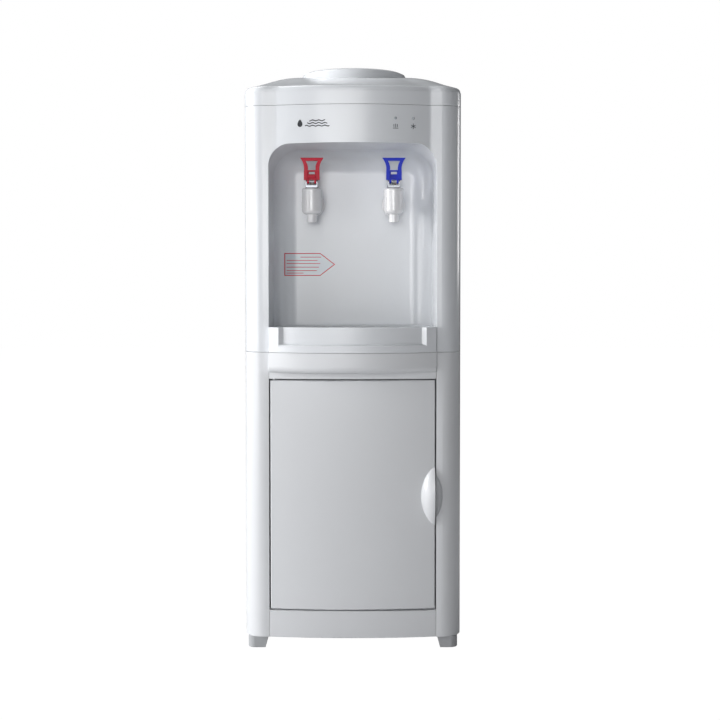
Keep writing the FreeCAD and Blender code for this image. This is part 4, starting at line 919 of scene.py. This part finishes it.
# ------------------------------------------------------------------------------------------ studio
@dataclass
class Studio:
    """Floor, lights and camera."""

    eye_height: float = 0.529
    eye_x: float = 0.025
    distance: float = 1.80
    pitch: float = 2.0
    lens: float = 64.6
    shift_y: float = -0.060
    shift_x: float = -0.0147

    def build(self) -> None:
        """Makes the floor, the world, the lights and the camera."""
        self.make_floor()
        self.make_world()
        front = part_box("left_side_panel_lower")[0].y
        self.make_light("key", (-2.6, front - 0.45, 1.2), (0.0, front, 0.50), 1.2, 76.0)
        self.make_light("front", (-0.3, front - 2.6, 0.95), (0.0, front, 0.50), 1.2, 19.0)
        self.make_light("low", (-1.9, front - 1.6, 0.35), (0.0, front, 0.30), 0.9, 10.0)
        self.make_light("rim", (1.5, 0.75, 0.75), (0.15, 0.0, 0.45), 0.5, 4.5)
        self.make_light("top", (-0.4, 0.3, 2.0), (0.0, 0.0, 0.80), 0.8, 16.0)
        self.make_spot("bay", (-0.25, front - 2.0, 0.62), (0.0, front + 0.08, 0.575), 8.5, 16.0)
        self.make_camera(front)
        view = bpy.context.scene.view_settings
        view.view_transform = "Standard"
        view.look = "None"

    def make_floor(self) -> None:
        """A plain pale floor."""
        start_clean()
        bpy.ops.mesh.primitive_plane_add(size=14.0, location=(0.0, 0.0, 0.0))
        floor = bpy.context.active_object
        floor.name = "studio_floor"
        material = bpy.data.materials.new("studio_floor")
        material.use_nodes = True
        tree = material.node_tree
        matt = tree.nodes["Principled BSDF"]
        matt.inputs["Base Color"].default_value = (0.50, 0.50, 0.51, 1.0)
        matt.inputs["Roughness"].default_value = 0.9
        glow = tree.nodes.new("ShaderNodeEmission")
        glow.inputs["Color"].default_value = (1.0, 1.0, 1.0, 1.0)
        glow.inputs["Strength"].default_value = 1.03
        path = tree.nodes.new("ShaderNodeLightPath")
        share = tree.nodes.new("ShaderNodeMath")
        share.operation = "MULTIPLY"
        share.inputs[1].default_value = 0.975
        mix = tree.nodes.new("ShaderNodeMixShader")
        tree.links.new(path.outputs["Is Camera Ray"], share.inputs[0])
        tree.links.new(share.outputs[0], mix.inputs["Fac"])
        tree.links.new(matt.outputs[0], mix.inputs[1])
        tree.links.new(glow.outputs[0], mix.inputs[2])
        tree.links.new(mix.outputs[0], tree.nodes["Material Output"].inputs["Surface"])
        floor.data.materials.append(material)

    def make_world(self) -> None:
        """White to the eye, a dim even room to the machine."""
        world = bpy.data.worlds.new("studio")
        bpy.context.scene.world = world
        world.use_nodes = True
        tree = world.node_tree
        room = tree.nodes["Background"]
        room.inputs["Color"].default_value = (0.93, 0.96, 1.0, 1.0)
        room.inputs["Strength"].default_value = 0.03
        white = tree.nodes.new("ShaderNodeBackground")
        white.inputs["Color"].default_value = (1.0, 1.0, 1.0, 1.0)
        path = tree.nodes.new("ShaderNodeLightPath")
        mix = tree.nodes.new("ShaderNodeMixShader")
        tree.links.new(path.outputs["Is Camera Ray"], mix.inputs["Fac"])
        tree.links.new(room.outputs[0], mix.inputs[1])
        tree.links.new(white.outputs[0], mix.inputs[2])
        tree.links.new(mix.outputs[0], tree.nodes["World Output"].inputs["Surface"])

    @staticmethod
    def make_light(name: str, place: Sequence[float], target: Sequence[float], size: float, power: float) -> None:
        """A soft square light.

        Args:
            name: the light's name.
            place: where it stands.
            target: what it faces.
            size: its side.
            power: its power, in watts.
        """
        light = bpy.data.lights.new(name, "AREA")
        light.shape = "SQUARE"
        light.size = size
        light.energy = power
        lamp = bpy.data.objects.new(name, light)
        bpy.context.scene.collection.objects.link(lamp)
        lamp.location = place
        lamp.rotation_euler = (Vector(target) - Vector(place)).to_track_quat("-Z", "Y").to_euler()

    @staticmethod
    def make_spot(name: str, place: Sequence[float], target: Sequence[float], cone: float, power: float) -> None:
        """A narrow, soft-edged light.

        Args:
            name: the light's name.
            place: where it stands.
            target: what it faces.
            cone: its full angle, in degrees.
            power: its power, in watts.
        """
        light = bpy.data.lights.new(name, "SPOT")
        light.spot_size = math.radians(cone)
        light.spot_blend = 0.6
        light.shadow_soft_size = 0.25
        light.energy = power
        lamp = bpy.data.objects.new(name, light)
        bpy.context.scene.collection.objects.link(lamp)
        lamp.location = place
        lamp.rotation_euler = (Vector(target) - Vector(place)).to_track_quat("-Z", "Y").to_euler()

    def make_camera(self, front: float) -> None:
        """The camera, a little to the user's right and just above the middle.

        Args:
            front: the door's front, which the distance is counted from.
        """
        data = bpy.data.cameras.new("camera")
        data.lens = self.lens
        data.sensor_width = 36.0
        data.shift_y = self.shift_y
        data.shift_x = self.shift_x
        data.clip_end = 50.0
        camera = bpy.data.objects.new("camera", data)
        bpy.context.scene.collection.objects.link(camera)
        camera.location = (self.eye_x, front - self.distance, self.eye_height)
        camera.rotation_euler = (math.radians(90.0 - self.pitch), 0.0, 0.0)
        bpy.context.scene.camera = camera


def main() -> None:
    """Builds everything in order."""
    logging.basicConfig(level=logging.INFO, format="%(message)s")
    wardrobe = Wardrobe()
    wardrobe.dress_nodes()
    Studio().build()
    BandPrints().build(wardrobe)
    BayLabel().build(wardrobe)
    start_clean()


if __name__ == "__main__":
    main()
